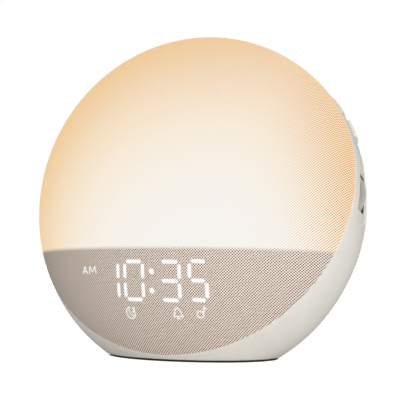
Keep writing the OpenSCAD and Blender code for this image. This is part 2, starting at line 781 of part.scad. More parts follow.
// Base screws go in from below, with their heads sunk in the plate
module base_screw_places() {
    for (x = [-base_screw_x, base_screw_x], y = [-base_screw_y, base_screw_y])
        translate([x, foot_y + y, foot_h + screw_head_h + fit]) rotate([180, 0, 0]) children();
}
module base_plate() {
    color([0.35, 0.35, 0.34]) difference() {
        union() {
            intersection() {
                round_body(shell_wall + fit);
                level_slab(foot_h, plate_top_z);
            }
            for (x = [-1, 1], y = power_post_y)
                translate([x * power_post_x, y, foot_h]) cylinder(h = power_board_z - foot_h, d = 5, $fn = 32);
        }
        seam_slab(-span, chassis_rear_y + free_gap);
        base_screw_places() screw_hole();
    }
}
module base_screws() color("silver") base_screw_places() screw();
module rubber_foot() {
    color([0.13, 0.13, 0.13]) translate([0, foot_y, 0]) linear_extrude(foot_h) difference() {
        oval(cut_rx(foot_h) - foot_step, cut_ry(foot_h) - foot_step);
        oval(cut_rx(foot_h) - foot_step - foot_w, cut_ry(foot_h) - foot_step - foot_w);
    }
}
module ballast() {
    half_w = base_screw_x - boss_d / 2 - 2;
    color("slategray") intersection() {
        translate([-half_w, foot_y - span, plate_top_z]) cube([2 * half_w, span, ballast_h]);
        round_body(shell_wall + 4 * fit, plain_step);
        seam_slab(chassis_rear_y + free_gap, span);
    }
}
power_board_w = 30;
power_board_y = 3;                    // front edge of the power board
power_post_x = 11;
power_post_y = [power_board_y + 4, 16];
nose_y = cut_y(inlet_z) + cut_ry(inlet_z) - shell_wall - 1.4;
jack_l = 10;
nose_l = 5;
module power_board() {
    color("darkgreen") intersection() {
        translate([-power_board_w / 2, power_board_y, power_board_z])
            cube([power_board_w, nose_y - nose_l - power_board_y, board_t]);
        round_body(shell_wall + 4 * fit, plain_step);
    }
}
module power_inlet() {
    jack_w = nose_d + 1;
    color([0.1, 0.1, 0.1]) translate([0, nose_y, inlet_z]) {
        difference() {
            union() {
                rotate([90, 0, 0]) cylinder(h = nose_l + 1, d = nose_d, $fn = 48);
                translate([-jack_w / 2, -nose_l - jack_l, -nose_d / 2]) cube([jack_w, jack_l, nose_d + 1]);
            }
            translate([0, 1, 0]) rotate([90, 0, 0]) cylinder(h = socket_l + 1, d = socket_d, $fn = 48);
        }
        translate([0, -1, 0]) rotate([90, 0, 0]) cylinder(h = socket_l, d = socket_d / 3, $fn = 32);
    }
}

// ---- Buttons ----
stem_d = 3;
button_in = shell_wall + free_gap;    // depth of a flange's outer face under the skin
flange_in = button_in + flange_t;     // depth of its inner face
// Outer face of a key board, measured from the seam's axis
function key_face_x(angle) = rim_reach(angle, pad_y, flange_in) - stem_l - pad_travel - 0.05 - switch_h;
function key_shelf_x(angle) = key_face_x(angle) - board_t - chassis_t;
shoulder_shelf_l = shoulder_pitch + switch_size + 2;
snooze_shelf_l = snooze_l * 0.6;
snooze_switch = snooze_l * 0.2;       // distance of the snooze bar's two switches from its middle
// A straight column through the rim with the outline of a button
module button_column(angle, along, length, grow) {
    at_rim(angle) translate([body_r / 2, pad_y, along]) rotate([0, 90, 0]) linear_extrude(body_r)
        rounded_rectangle(length + 2 * grow, pad_w + 2 * grow, pad_corner + grow);
}
module button_opening(angle, along, length) button_column(angle, along, length, free_gap);
module button(angle, along, length, stems) {
    color([0.80, 0.79, 0.76]) {
        difference() {
            intersection() {
                round_body(-pad_raise);
                button_column(angle, along, length, 0);
            }
            round_body(flange_in);
        }
        difference() {
            intersection() {
                round_body(button_in);
                button_column(angle, along, length, flange_w);
            }
            round_body(flange_in);
        }
        stem_x = rim_reach(angle, pad_y, flange_in) - stem_l;
        for (s = stems) at_rim(angle) translate([stem_x, pad_y, along + s])
            rotate([0, 90, 0]) cylinder(h = stem_l + flange_t, d = stem_d, $fn = 32);
    }
}
module right_upper_button() button(shoulder_angle, shoulder_pitch / 2, shoulder_l, [0]);
module right_lower_button() button(shoulder_angle, -shoulder_pitch / 2, shoulder_l, [0]);
module left_upper_button() mirror([1, 0, 0]) right_upper_button();
module left_lower_button() mirror([1, 0, 0]) right_lower_button();
module snooze_bar() button(90, 0, snooze_l, [-snooze_switch, snooze_switch]);
module key_board(angle, length) {
    at_rim(angle) translate([key_face_x(angle) - board_t, chassis_rear_y, -length / 2])
        cube([board_t, pad_y + switch_size / 2 - chassis_rear_y, length]);
}
module key_boards() {
    color("darkgreen") {
        both_sides() key_board(shoulder_angle, shoulder_shelf_l);
        key_board(90, snooze_shelf_l);
    }
}
module key_switch(angle, along) {
    plunger_h = 0.8;
    at_rim(angle) translate([key_face_x(angle), pad_y, along]) {
        translate([0, -switch_size / 2, -switch_size / 2])
            cube([switch_h - plunger_h, switch_size, switch_size]);
        rotate([0, 90, 0]) cylinder(h = switch_h, d = 3.2, $fn = 32);
    }
}
module key_switches() {
    color("black") {
        both_sides() for (side = [-1, 1]) key_switch(shoulder_angle, side * shoulder_pitch / 2);
        for (side = [-1, 1]) key_switch(90, side * snooze_switch);
    }
}

// ---- Dials ----
dial_x = body_r - dial_sink - dial_r;
slot_z = dial_rise - slot_drop;
slot_w = slot_front + dial_t + 2 * free_gap;
shaft_run = 0.06;                     // running clearance of a shaft in its encoder
bracket_post_x = dial_x - dial_r - boss_d / 2 - 1;
bracket_post_z = 9;
bracket_spots = [for (z = [-bracket_post_z, bracket_post_z]) [bracket_post_x, dial_rise + z]];
module dial() {
    pitch = 360 / dial_ribs;
    color([0.80, 0.79, 0.76])
    in_seam() translate([dial_x, dial_y, dial_rise]) rotate([-90, 0, 0]) difference() {
        linear_extrude(dial_t) polygon([
            for (i = [0 : dial_ribs - 1], step = [[0, 0], [0.45, 0], [0.6, 1], [0.85, 1]])
                let (a = (i + step[0]) * pitch, r = dial_r - step[1] * rib_depth)
                [r * cos(a), r * sin(a)]
        ]);
        translate([0, 0, -1]) cylinder(h = dial_t + 2, d = dial_shaft_d + 0.04, $fn = 48);
        translate([0, 0, dial_t - 3]) ring(dial_shaft_d / 2 + 2.5, dial_r - 3, 0, 4);
    }
}
module right_dial() dial();
module left_dial() mirror([1, 0, 0]) dial();
module dial_shaft() {
    color("silver") in_seam() translate([dial_x, dial_y + 1, dial_rise]) rotate([-90, 0, 0])
        cylinder(h = dial_t + encoder_t - 2, d = dial_shaft_d, $fn = 48);
}
module right_dial_shaft() dial_shaft();
module left_dial_shaft() mirror([1, 0, 0]) dial_shaft();
module encoders() {
    color("gray") both_sides() in_seam() translate([dial_x, dial_rear_y + free_gap, dial_rise]) difference() {
        translate([-encoder_size / 2, 0, -encoder_size / 2]) cube([encoder_size, encoder_t, encoder_size]);
        translate([0, -1, 0]) rotate([-90, 0, 0])
            cylinder(h = encoder_t, d = dial_shaft_d + 2 * shaft_run, $fn = 48);
    }
}
module dial_brackets() {
    reach = dial_x - bracket_post_x + encoder_size / 2;
    wide = 2 * bracket_post_z + boss_d;
    color("dimgray") both_sides() difference() {
        in_seam() translate([bracket_post_x - boss_d / 2, bracket_y, dial_rise - wide / 2])
            cube([reach + boss_d / 2, bracket_t, wide]);
        for (p = bracket_spots) seam_bar(p, -span, span, screw_d + 2 * fit);
    }
}

// ---- Speaker ----
module speaker_gasket() color([0.2, 0.2, 0.2]) on_speaker_axis()
    ring(speaker_r - 4.6, speaker_r - 0.4, speaker_seat - gasket_t, speaker_seat);
module speaker_surround() {
    mid = cone_r + roll_r;
    color([0.15, 0.15, 0.15]) on_speaker_axis() translate([0, 0, basket_top]) union() {
        ring(mid + roll_r - roll_t, speaker_r - 0.4, 0, roll_t);
        ring(cone_r - 1.2, mid - roll_r + roll_t, 0, roll_t);
        rotate_extrude($fn = 96) translate([mid, 0]) intersection() {
            difference() {
                circle(roll_r, $fn = 48);
                circle(roll_r - roll_t, $fn = 48);
            }
            translate([-span / 2, 0]) square(span);
        }
    }
}
module speaker_cone() {
    coil_r = 6.6;
    coil_t = 0.6;
    neck_z = basket_top - 6.5;
    coil_in = coil_r - coil_t / 2;
    coil_out = coil_r + coil_t / 2;
    color([0.25, 0.25, 0.26]) on_speaker_axis() rotate_extrude($fn = 96) polygon([
        [0, neck_z + 2.2], [coil_r - 2, neck_z + 1.2], [coil_in, neck_z],
        [coil_in, motor_top - 2], [coil_out, motor_top - 2], [coil_out, neck_z],
        [cone_r - 1.2, basket_top - 0.8], [cone_r, basket_top - 0.8], [cone_r, basket_top],
        [cone_r - 1.4, basket_top], [coil_out, neck_z + 1], [coil_r - 1.6, neck_z + 2.2],
        [0, neck_z + 3.2]
    ]);
}
module speaker_basket() {
    open_r = cone_r + 2 * roll_r;
    flange_z = basket_top - basket_flange_t;
    color([0.3, 0.3, 0.32]) on_speaker_axis() difference() {
        union() {
            ring(open_r, speaker_r - 0.4, flange_z, basket_top);
            for (a = [45 : 90 : 315]) rotate(a) difference() {
                translate([speaker_r - 3, -boss_d / 2 + 0.5, flange_z])
                    cube([ear_r - speaker_r + 6.2, boss_d - 1, basket_flange_t]);
                translate([0, 0, flange_z - 1]) cylinder(h = 4, r = open_r, $fn = 96);
            }
            rotate_extrude($fn = 96) polygon([
                [magnet_r - 6, motor_top], [magnet_r + basket_bend, motor_top], [open_r + 1.4, flange_z],
                [open_r + 1.4, flange_z + 0.5], [open_r, flange_z + 0.5], [magnet_r, motor_top + 1.2],
                [magnet_r - 6, motor_top + 1.2]
            ]);
        }
        for (a = [45 : 90 : 315]) rotate(a) translate([ear_r, 0, flange_z - 1])
            cylinder(h = 4, d = screw_d + 2 * fit, $fn = 32);
        for (a = [0 : 90 : 270]) rotate(a) translate([magnet_r, -5, motor_top + 2.5])
            cube([8, 10, basket_h - 5]);
    }
}
module speaker_motor() {
    plate_t = 3;
    magnet_t = 6;
    yoke_z = motor_top - 2 * plate_t - magnet_t;
    color([0.45, 0.45, 0.47]) on_speaker_axis() union() {
        ring(7.7, magnet_r - 1, motor_top - plate_t, motor_top);
        ring(9, magnet_r, motor_top - plate_t - magnet_t, motor_top - plate_t);
        translate([0, 0, yoke_z]) cylinder(h = plate_t, r = magnet_r - 1, $fn = 96);
        translate([0, 0, yoke_z]) cylinder(h = motor_top - yoke_z, r = 5.6, $fn = 64);
    }
}
module speaker_screws() {
    color("silver") on_speaker_axis() for (a = [45 : 90 : 315])
        rotate(a) translate([ear_r, 0, basket_top - basket_flange_t]) rotate([180, 0, 0]) screw(5);
}
// From beside the magnet to the socket on the main board, in a smooth curve
basket_bend = 1.2;                    // width of the basket's floor outside the magnet
lead_angle = 112;                     // where it starts around the magnet
lead_pull = 12;                       // how far it runs straight at both ends
lead_r0 = magnet_r + basket_bend + lead_r + fit;
lead_start = [lead_r0 * cos(lead_angle), lead_r0 * sin(lead_angle), motor_top + lead_r / 2];
socket_seam = [lead_socket[0], main_board_y + board_t + socket_rise, lead_socket[1] - main_board_drop];
lead_end = [
    socket_seam[0],
    socket_seam[1] * sin(lean_between) - socket_seam[2] * cos(lean_between),
    socket_seam[1] * cos(lean_between) + socket_seam[2] * sin(lean_between) + lead_r * sin(lean_between) + fit
];
lead_bend = [
    lead_start, [1.15 * lead_start[0], 1.15 * lead_start[1], lead_start[2] - lead_pull],
    lead_end + [0, 0, lead_pull], lead_end
];
function on_bend(p, t) =
    pow(1 - t, 3) * p[0] + 3 * t * pow(1 - t, 2) * p[1] + 3 * t * t * (1 - t) * p[2] + pow(t, 3) * p[3];
lead_path = [for (i = [0 : 8]) on_bend(lead_bend, i / 8)];
// A round lead through the points of a path, as one closed skin
module lead(path, r, sides = 10) {
    last = len(path) - 1;
    skin = [
        for (i = [0 : last])
            let (way = path[min(i + 1, last)] - path[max(i - 1, 0)],
                 across = cross(way, [1, 0, 0]) / norm(cross(way, [1, 0, 0])),
                 over = cross(across, way) / norm(cross(across, way)))
            for (k = [0 : sides - 1])
                path[i] + r * (cos(k * 360 / sides) * across + sin(k * 360 / sides) * over)
    ];
    sides_faces = [
        for (i = [0 : last - 1], k = [0 : sides - 1])
            let (a = i * sides + k, b = i * sides + (k + 1) % sides)
            [a, b, b + sides, a + sides]
    ];
    polyhedron(skin, concat(
        sides_faces,
        [[for (k = [sides - 1 : -1 : 0]) k], [for (k = [0 : sides - 1]) last * sides + k]]
    ));
}
module speaker_lead() color("black") on_speaker_axis() lead(lead_path, lead_r);

fabric_cover();
diffuser_dome();
front_frame();
horizon_baffle();
reflector_panel();
led_board();
sunrise_leds();
display_housing();
digit_light_guides();
indicator_light_guides();
display_leds();
display_board();
display_screws();
display_ribbon();
chassis();
frame_screws();
boss_screws();
main_board();
main_board_parts();
board_screws();
cell_holder();
coin_cell();
rear_shell();
base_plate();
base_screws();
rubber_foot();
ballast();
power_board();
power_inlet();
snooze_bar();
right_upper_button();
right_lower_button();
left_upper_button();
left_lower_button();
key_boards();
key_switches();
right_dial();
left_dial();
right_dial_shaft();
left_dial_shaft();
encoders();
dial_brackets();
bracket_screws();
speaker_basket();
speaker_motor();
speaker_cone();
speaker_surround();
speaker_gasket();
speaker_screws();
speaker_lead();
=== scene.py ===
import math

import bpy
import numpy as np
from mathutils import Matrix, Vector


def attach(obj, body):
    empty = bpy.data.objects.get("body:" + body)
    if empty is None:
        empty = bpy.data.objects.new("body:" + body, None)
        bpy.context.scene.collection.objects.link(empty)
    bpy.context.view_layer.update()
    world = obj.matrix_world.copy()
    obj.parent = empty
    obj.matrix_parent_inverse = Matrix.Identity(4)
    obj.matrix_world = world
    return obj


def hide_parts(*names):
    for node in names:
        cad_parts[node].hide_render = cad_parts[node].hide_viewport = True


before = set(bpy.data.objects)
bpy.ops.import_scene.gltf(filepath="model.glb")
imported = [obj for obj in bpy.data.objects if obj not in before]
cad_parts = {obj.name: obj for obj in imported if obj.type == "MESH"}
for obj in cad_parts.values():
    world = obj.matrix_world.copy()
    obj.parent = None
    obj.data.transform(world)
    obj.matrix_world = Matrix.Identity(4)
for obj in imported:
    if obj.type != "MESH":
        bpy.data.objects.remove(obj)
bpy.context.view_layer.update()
print("frame loaded")

# The round body is a flattened ball that leans back, and the seam plane leans further. Metres and radians.
body = {
    "radius": 0.090,
    "halfDepth": 0.057,
    "lean": math.radians(7),
    "middle": 0.07740,          # height of the ball's middle above the table
    "seamLean": math.radians(19),
    "seamForward": 0.0115,      # from the ball's middle to the seam plane
    "seamGap": 0.0004,
    "footRise": 0.0012,         # the shell stops here and the rubber starts
}
bodyTurn = Matrix.Translation((0, 0, body["middle"])) @ Matrix.Rotation(-body["lean"], 4, "X")
seamTurn = Matrix.Translation((0, 0, body["middle"])) @ Matrix.Rotation(-body["seamLean"], 4, "X")
seamNormal = seamTurn.to_3x3() @ Vector((0, 1, 0))   # points to the rear

quarterTurn = math.pi / 2
mmPerMetre = 1000
# How new meshes are cleaned, shaded and roughed out
meshing = {
    "weld": 0.00003,                    # corners closer than this become one
    "smoothUnder": math.radians(40),    # edges that bend less than this are shaded smooth
    "blockEnds": (0.06, 0.07),          # low and high end of a plain block, before its ends go to the round
    "blockStep": 0.0025, "fewestSteps": 4,
    "cornerSteps": 8,
    "leastLength": 1e-5,                # an edge that reaches further along X than this runs along it
}


def onlyPick(*objs):  # nothing else stays selected, so an operator acts on these alone
    if bpy.context.object and bpy.context.object.mode != "OBJECT":
        bpy.ops.object.mode_set(mode="OBJECT")
    bpy.ops.object.select_all(action="DESELECT")
    for obj in objs:
        obj.select_set(True)
    bpy.context.view_layer.objects.active = objs[0]
    return objs[0]


def newPiece(name):  # names the primitive that was just added
    obj = bpy.context.object
    obj.name = name
    obj.data.name = name
    return onlyPick(obj)


def openEdit(obj, kind="FACE", test=None):  # edit mode, with the faces or edges selected that pass the test
    onlyPick(obj)
    bpy.ops.object.mode_set(mode="EDIT")
    bpy.ops.mesh.select_mode(type=kind)
    bpy.ops.mesh.select_all(action="SELECT" if test is None else "DESELECT")
    if test is not None:
        bpy.ops.object.mode_set(mode="OBJECT")
        for item in (obj.data.polygons if kind == "FACE" else obj.data.edges):
            item.select = test(item)
        bpy.ops.object.mode_set(mode="EDIT")


def closeEdit():
    bpy.ops.object.mode_set(mode="OBJECT")


def bakePlace(obj, turn=None):  # the place goes into the mesh, and the object sits at the origin
    if turn is not None:
        obj.matrix_world = turn @ obj.matrix_world
    onlyPick(obj)
    bpy.ops.object.transform_apply(location=True, rotation=True, scale=True)
    return obj


def finishModifier(obj, kind, **settings):
    onlyPick(obj)
    modifier = obj.modifiers.new(kind.title(), kind)
    for key, value in settings.items():
        setattr(modifier, key, value)
    bpy.ops.object.modifier_apply(modifier=modifier.name)


def cutWith(obj, cutter):
    finishModifier(obj, "BOOLEAN", object=cutter, operation="DIFFERENCE", solver="EXACT")
    bpy.data.objects.remove(cutter)


def joinPieces(name, objs):
    onlyPick(*objs)
    bpy.ops.object.join()
    return newPiece(name)


def sliceOff(obj, point, normal):  # clears the side that the normal points to and closes the cut
    openEdit(obj)
    bpy.ops.mesh.bisect(plane_co=point, plane_no=normal, use_fill=True, clear_outer=True)
    closeEdit()


def shadeSmooth(obj):
    onlyPick(obj)
    bpy.ops.object.shade_smooth_by_angle(angle=meshing["smoothUnder"])


def softEdges(obj, width, rounds=2, sharp=35):  # the small radius that moulding leaves on every sharp edge
    openEdit(obj)
    bpy.ops.mesh.remove_doubles(threshold=meshing["weld"])
    bpy.ops.mesh.normals_make_consistent(inside=False)
    closeEdit()
    finishModifier(obj, "BEVEL", width=width, segments=rounds, limit_method="ANGLE",
                   angle_limit=math.radians(sharp))
    shadeSmooth(obj)


def addRod(name, sides, radius, length, place=(0, 0, 0), turn=(0, 0, 0)):  # along Z unless it is turned
    bpy.ops.mesh.primitive_cylinder_add(vertices=sides, radius=radius, depth=length, location=place,
                                        rotation=turn)
    return newPiece(name)


def unitBall(name, slices, bands):  # poles at the front and the rear
    bpy.ops.mesh.primitive_uv_sphere_add(segments=slices, ring_count=bands, radius=1,
                                         rotation=(quarterTurn, 0, 0))
    return bakePlace(newPiece(name))


def asBody(obj, grow=0.0):  # a unit ball becomes the body's round, larger by grow
    obj.scale = (body["radius"] + grow, body["halfDepth"] + grow, body["radius"] + grow)
    return bakePlace(bakePlace(obj), bodyTurn)


def rimTurn(angle):  # X out through the rim at this angle, Y to the rear, Z along the rim
    return seamTurn @ Matrix.Rotation(-angle, 4, "Y")


def reachRound(turn, y, z, grow):  # along the frame's X, from its YZ plane to the round grown by grow
    wide, deep = body["radius"] + grow, body["halfDepth"] + grow
    toBall = Matrix.Diagonal((1 / wide, 1 / deep, 1 / wide, 1)) @ bodyTurn.inverted() @ turn
    start = toBall @ Vector((0, y, z))
    way = toBall.to_3x3() @ Vector((1, 0, 0))
    # in the ball's own measure its skin is met where a t t + b t + c = 0
    a, b, c = way.dot(way), 2 * way.dot(start), start.dot(start) - 1
    return (math.sqrt(b * b - 4 * a * c) - b) / (2 * a)


def seamLevel(y):  # a point on the plane at this place along the seam's own axis
    return seamTurn @ Vector((0, y, 0))


def linear(hexColour):  # sRGB hex to the linear values that a shader wants
    parts = [int(hexColour[i:i + 2], 16) / 255 for i in (1, 3, 5)]
    return (*[c / 12.92 if c <= 0.04045 else ((c + 0.055) / 1.055) ** 2.4 for c in parts], 1)


def addNode(tree, kind, inputs=(), **settings):
    node = tree.nodes.new(kind)
    for key, value in settings.items():
        setattr(node, key, value)
    for key, value in dict(inputs).items():
        if isinstance(value, bpy.types.NodeSocket):
            tree.links.new(value, node.inputs[key])
        else:
            node.inputs[key].default_value = value
    return node


def startMaterial(name):
    material = bpy.data.materials.new(name)
    material.use_nodes = True
    tree = material.node_tree
    tree.nodes.clear()
    shader = addNode(tree, "ShaderNodeBsdfPrincipled")
    addNode(tree, "ShaderNodeOutputMaterial", {"Surface": shader.outputs[0]})
    return material, tree, shader


# Every plain finish is a little cloudy and grainy: how fine the noises go, the stretch of them that is used,
# how far the roughness strays and how strongly the grain is felt
mottle = {"cloudDetail": 3.0, "grainDetail": 2.0, "tone": (0.7, 1.3), "clouds": (0.3, 0.7), "stray": 0.06,
          "strength": 0.4}


# patch, grain and bump are in millimetres, and a grain too fine to show is drawn coarser than the real one
def solidFinish(name, light, dark, patch=8.0, grain=0.4, bump=0.015, rough=0.5, metallic=0.0,
                stretch=(1, 1, 1), clear=0.0, ior=1.47):
    material, tree, shader = startMaterial(name)
    place = addNode(tree, "ShaderNodeTexCoord").outputs["Object"]
    along = addNode(tree, "ShaderNodeMapping", {"Vector": place, "Scale": stretch}).outputs[0]
    clouds = addNode(tree, "ShaderNodeTexNoise", {"Vector": place, "Scale": mmPerMetre / patch,
                                                  "Detail": mottle["cloudDetail"]}).outputs[0]
    grains = addNode(tree, "ShaderNodeTexNoise", {"Vector": along, "Scale": mmPerMetre / grain,
                                                  "Detail": mottle["grainDetail"]}).outputs[0]
    both = addNode(tree, "ShaderNodeMath", {0: clouds, 1: grains}, operation="ADD").outputs[0]
    share = addNode(tree, "ShaderNodeMapRange", {"Value": both, "From Min": mottle["tone"][0],
                                                 "From Max": mottle["tone"][1]}).outputs[0]
    colour = addNode(tree, "ShaderNodeMix", {0: share, 6: linear(dark), 7: linear(light)},
                     data_type="RGBA").outputs[2]
    sheen = addNode(tree, "ShaderNodeMapRange", {
        "Value": clouds, "From Min": mottle["clouds"][0], "From Max": mottle["clouds"][1],
        "To Min": rough - mottle["stray"], "To Max": rough + mottle["stray"]}).outputs[0]
    relief = addNode(tree, "ShaderNodeBump", {"Height": grains, "Strength": mottle["strength"],
                                              "Distance": bump / mmPerMetre}).outputs[0]
    tree.links.new(colour, shader.inputs["Base Color"])
    tree.links.new(sheen, shader.inputs["Roughness"])
    tree.links.new(relief, shader.inputs["Normal"])
    shader.inputs["Metallic"].default_value = metallic
    shader.inputs["Transmission Weight"].default_value = clear
    if not metallic:
        shader.inputs["IOR"].default_value = ior
    return material


def overPaint(material, share, hexColour):  # a second colour where the share is 1
    tree = material.node_tree
    shader = next(node for node in tree.nodes if node.type == "BSDF_PRINCIPLED")
    under = shader.inputs["Base Color"].links[0].from_socket
    paintedShade = addNode(tree, "ShaderNodeMix", {0: share, 6: under, 7: linear(hexColour)}, data_type="RGBA")
    tree.links.new(paintedShade.outputs[2], shader.inputs["Base Color"])


print("helpers ready")

# Camera low in front, a little to the right, looking slightly up
view = {
    "place": (0.2285, -0.4899, 0.0519), "forward": (-0.4192, 0.9063, 0.0533),
    "lens": 93.08, "sensor": 36.0, "nearClip": 0.01,
}
bpy.ops.object.camera_add(location=view["place"])
camera = bpy.context.object
camera.name = "camera"
camera.rotation_mode = "QUATERNION"
camera.rotation_quaternion = Vector(view["forward"]).to_track_quat("-Z", "Y")
camera.data.lens = view["lens"]
camera.data.sensor_width = view["sensor"]
camera.data.clip_start = view["nearClip"]
bpy.context.scene.camera = camera
print("camera placed")

# Glowing marks seen through the cloth: places are millimetres right of and above the ball's middle
marks = {
    "rows": (-35.1, -43.9, -52.6),    # upper, middle and lower bars
    "columnHalf": 3.55,               # half the length of an upright bar
    "barTrim": 0.60,                  # a level bar stops this short of its columns
    "halfStroke": 0.90,
    "pointed": 0.8,                   # how far a bar's ends draw back towards its sides
    "slant": 0.07,
    # each digit with its middle, its width and how far it is raised
    "digits": (("1", -21.5, 9.8, 0.0), ("0", -7.65, 9.9, 0.0), ("3", 11.3, 9.6, 0.0), ("5", 25.05, 8.0, 0.5)),
    "dots": ((2.25, -39.6), (1.65, -48.5)),
    "dotRadius": 1.35,
    "softEdge": 0.35,
    "thinHalf": 0.30,                 # half the line width of the small marks
    "thinGlow": 0.90,
}
barsOf = {"1": "rs", "0": "turslb", "3": "tmbrs", "5": "tmbus"}   # u, l left; r, s right; t, m, b level


def ringLine(x, up, radius, start, end, steps=14):  # part of a circle, between two angles in degrees
    turns = [math.radians(start + (end - start) * i / steps) for i in range(steps + 1)]
    return [(x + radius * math.cos(t), up + radius * math.sin(t)) for t in turns]


thinLines = {
    "letterA": ([(-38.9, -40.5), (-37.3, -37.0), (-35.7, -40.5)], [(-38.2, -39.4), (-36.4, -39.4)]),
    "letterM": ([(-34.4, -40.5), (-34.0, -37.0), (-32.2, -39.6), (-30.4, -37.0), (-30.0, -40.5)],),
    "moon": (ringLine(-11.9, -58.8, 2.6, 95, 355), ringLine(-10.7, -57.9, 2.1, 135, 315),
             [(-10.9, -56.7), (-9.3, -56.7), (-10.9, -58.4), (-9.3, -58.4)]),
    "bell": ([(12.6, -56.4), (11.8, -57.4), (11.6, -58.9), (10.8, -60.0), (15.7, -60.0), (14.9, -58.9),
              (14.7, -57.4), (13.9, -56.4), (13.2, -55.9), (12.6, -56.4)],
             [(12.6, -60.9), (13.9, -60.9)]),
    "note": (ringLine(24.1, -58.7, 1.5, 0, 360), [(25.5, -58.3), (26.5, -54.9)],
             [(25.6, -56.4), (27.3, -55.6)]),
}


def glowAt(x, up):  # how strongly the marks shine at arrays of places
    glow = np.zeros_like(x)

    def shineIn(outside, strength=1):  # half as strong on the mark's edge, where outside is 0
        np.maximum(glow, strength * np.clip(0.5 - outside / marks["softEdge"], 0, 1), out=glow)

    def bar(x0, up0, x1, up1, half, pointed, strength=1):
        length = math.hypot(x1 - x0, up1 - up0)
        wayX, wayUp = (x1 - x0) / length, (up1 - up0) / length
        along = np.abs((x - (x0 + x1) / 2) * wayX + (up - (up0 + up1) / 2) * wayUp)
        across = np.abs((x - (x0 + x1) / 2) * wayUp - (up - (up0 + up1) / 2) * wayX)
        shineIn(np.maximum(across - half, along + pointed * across - length / 2), strength)

    top, middle, low = marks["rows"]
    stroke = marks["halfStroke"], marks["pointed"]
    for digit, centre, width, rise in marks["digits"]:
        for name in barsOf[digit]:
            if name in "tmb":
                level = {"t": top, "m": middle, "b": low}[name]
                shift = centre + marks["slant"] * (level - middle)
                reach = width / 2 - marks["barTrim"]
                bar(shift - reach, level + rise, shift + reach, level + rise, *stroke)
            else:
                level = (top + middle) / 2 if name in "ur" else (middle + low) / 2
                side = width / 2 if name in "rs" else -width / 2
                shift = centre + side + marks["slant"] * (level - middle)
                reach = marks["columnHalf"]
                lean = marks["slant"] * reach
                bar(shift - lean, level + rise - reach, shift + lean, level + rise + reach, *stroke)
    for dotX, dotUp in marks["dots"]:
        shineIn(np.hypot(x - dotX, up - dotUp) - marks["dotRadius"])
    for lines in thinLines.values():
        for line in lines:
            for (x0, up0), (x1, up1) in zip(line, line[1:]):
                bar(x0, up0, x1, up1, marks["thinHalf"], 0, marks["thinGlow"])
    return glow


# Cloth cover, stretched over the dome in front of the seam
cover = {
    "slices": 192, "bands": 96,
    "thickness": 0.0006,
    "patchX": (-0.0420, 0.0325), "patchUp": (-0.0630, -0.0315),   # finer mesh where the marks shine
    "patchCuts": 7,
    "flatSide": 0.203,          # the round blank's diameter, from the dome's area
    "ease": 0.25,               # 1 keeps the threads' spacing over the dome, 0 draws them out to its edge
    "arcSteps": 721,
    "leastSide": 1e-9,          # shares of the radius: nothing is divided by zero at the pole
}
clothCover = unitBall("clothCover", cover["slices"], cover["bands"])
lowX, highX = (v / body["radius"] for v in cover["patchX"])
lowUp, highUp = (v / body["radius"] for v in cover["patchUp"])
openEdit(clothCover, "FACE", lambda face: face.center.y < 0 and lowX < face.center.x < highX
         and lowUp < face.center.z < highUp)
bpy.ops.mesh.subdivide(number_cuts=cover["patchCuts"])
closeEdit()
for vertex in clothCover.data.vertices:
    vertex.co.normalize()      # the finer patch goes back onto the ball

places = np.empty(len(clothCover.data.vertices) * 3)
clothCover.data.vertices.foreach_get("co", places)
places = places.reshape(-1, 3)
glow = glowAt(places[:, 0] * body["radius"] * mmPerMetre, places[:, 2] * body["radius"] * mmPerMetre)
glow = np.where(places[:, 1] < 0, glow, 0)     # on the front half alone
clothCover.data.attributes.new("glow", "FLOAT", "POINT").data.foreach_set("value", glow)

# The cloth's own map, in metres: the flat blank laid over the dome from the front, with its edges drawn out
turnSteps = np.linspace(0, math.pi, cover["arcSteps"])
speed = np.hypot(body["radius"] * np.cos(turnSteps), body["halfDepth"] * np.sin(turnSteps))
arc = np.concatenate([[0], np.cumsum((speed[1:] + speed[:-1]) / 2 * np.diff(turnSteps))])
fromPole = np.arccos(np.clip(-places[:, 1], -1, 1))
side = np.maximum(np.hypot(places[:, 0], places[:, 2]), cover["leastSide"])
outward = cover["ease"] * np.interp(fromPole, turnSteps, arc) + (1 - cover["ease"]) * body["radius"] * side
flat = np.stack([places[:, 0] / side, places[:, 2] / side], axis=1) * outward[:, None]
corners = np.empty(len(clothCover.data.loops), int)
clothCover.data.loops.foreach_get("vertex_index", corners)
clothCover.data.uv_layers[0].name = "clothMap"
clothCover.data.uv_layers["clothMap"].uv.foreach_set("vector", flat[corners].ravel())

asBody(clothCover)
openEdit(clothCover)
bpy.ops.mesh.bisect(plane_co=seamLevel(-body["seamForward"] - body["seamGap"] / 2), plane_no=seamNormal,
                    clear_outer=True)
closeEdit()
finishModifier(clothCover, "SOLIDIFY", thickness=cover["thickness"], offset=-1)
shadeSmooth(clothCover)

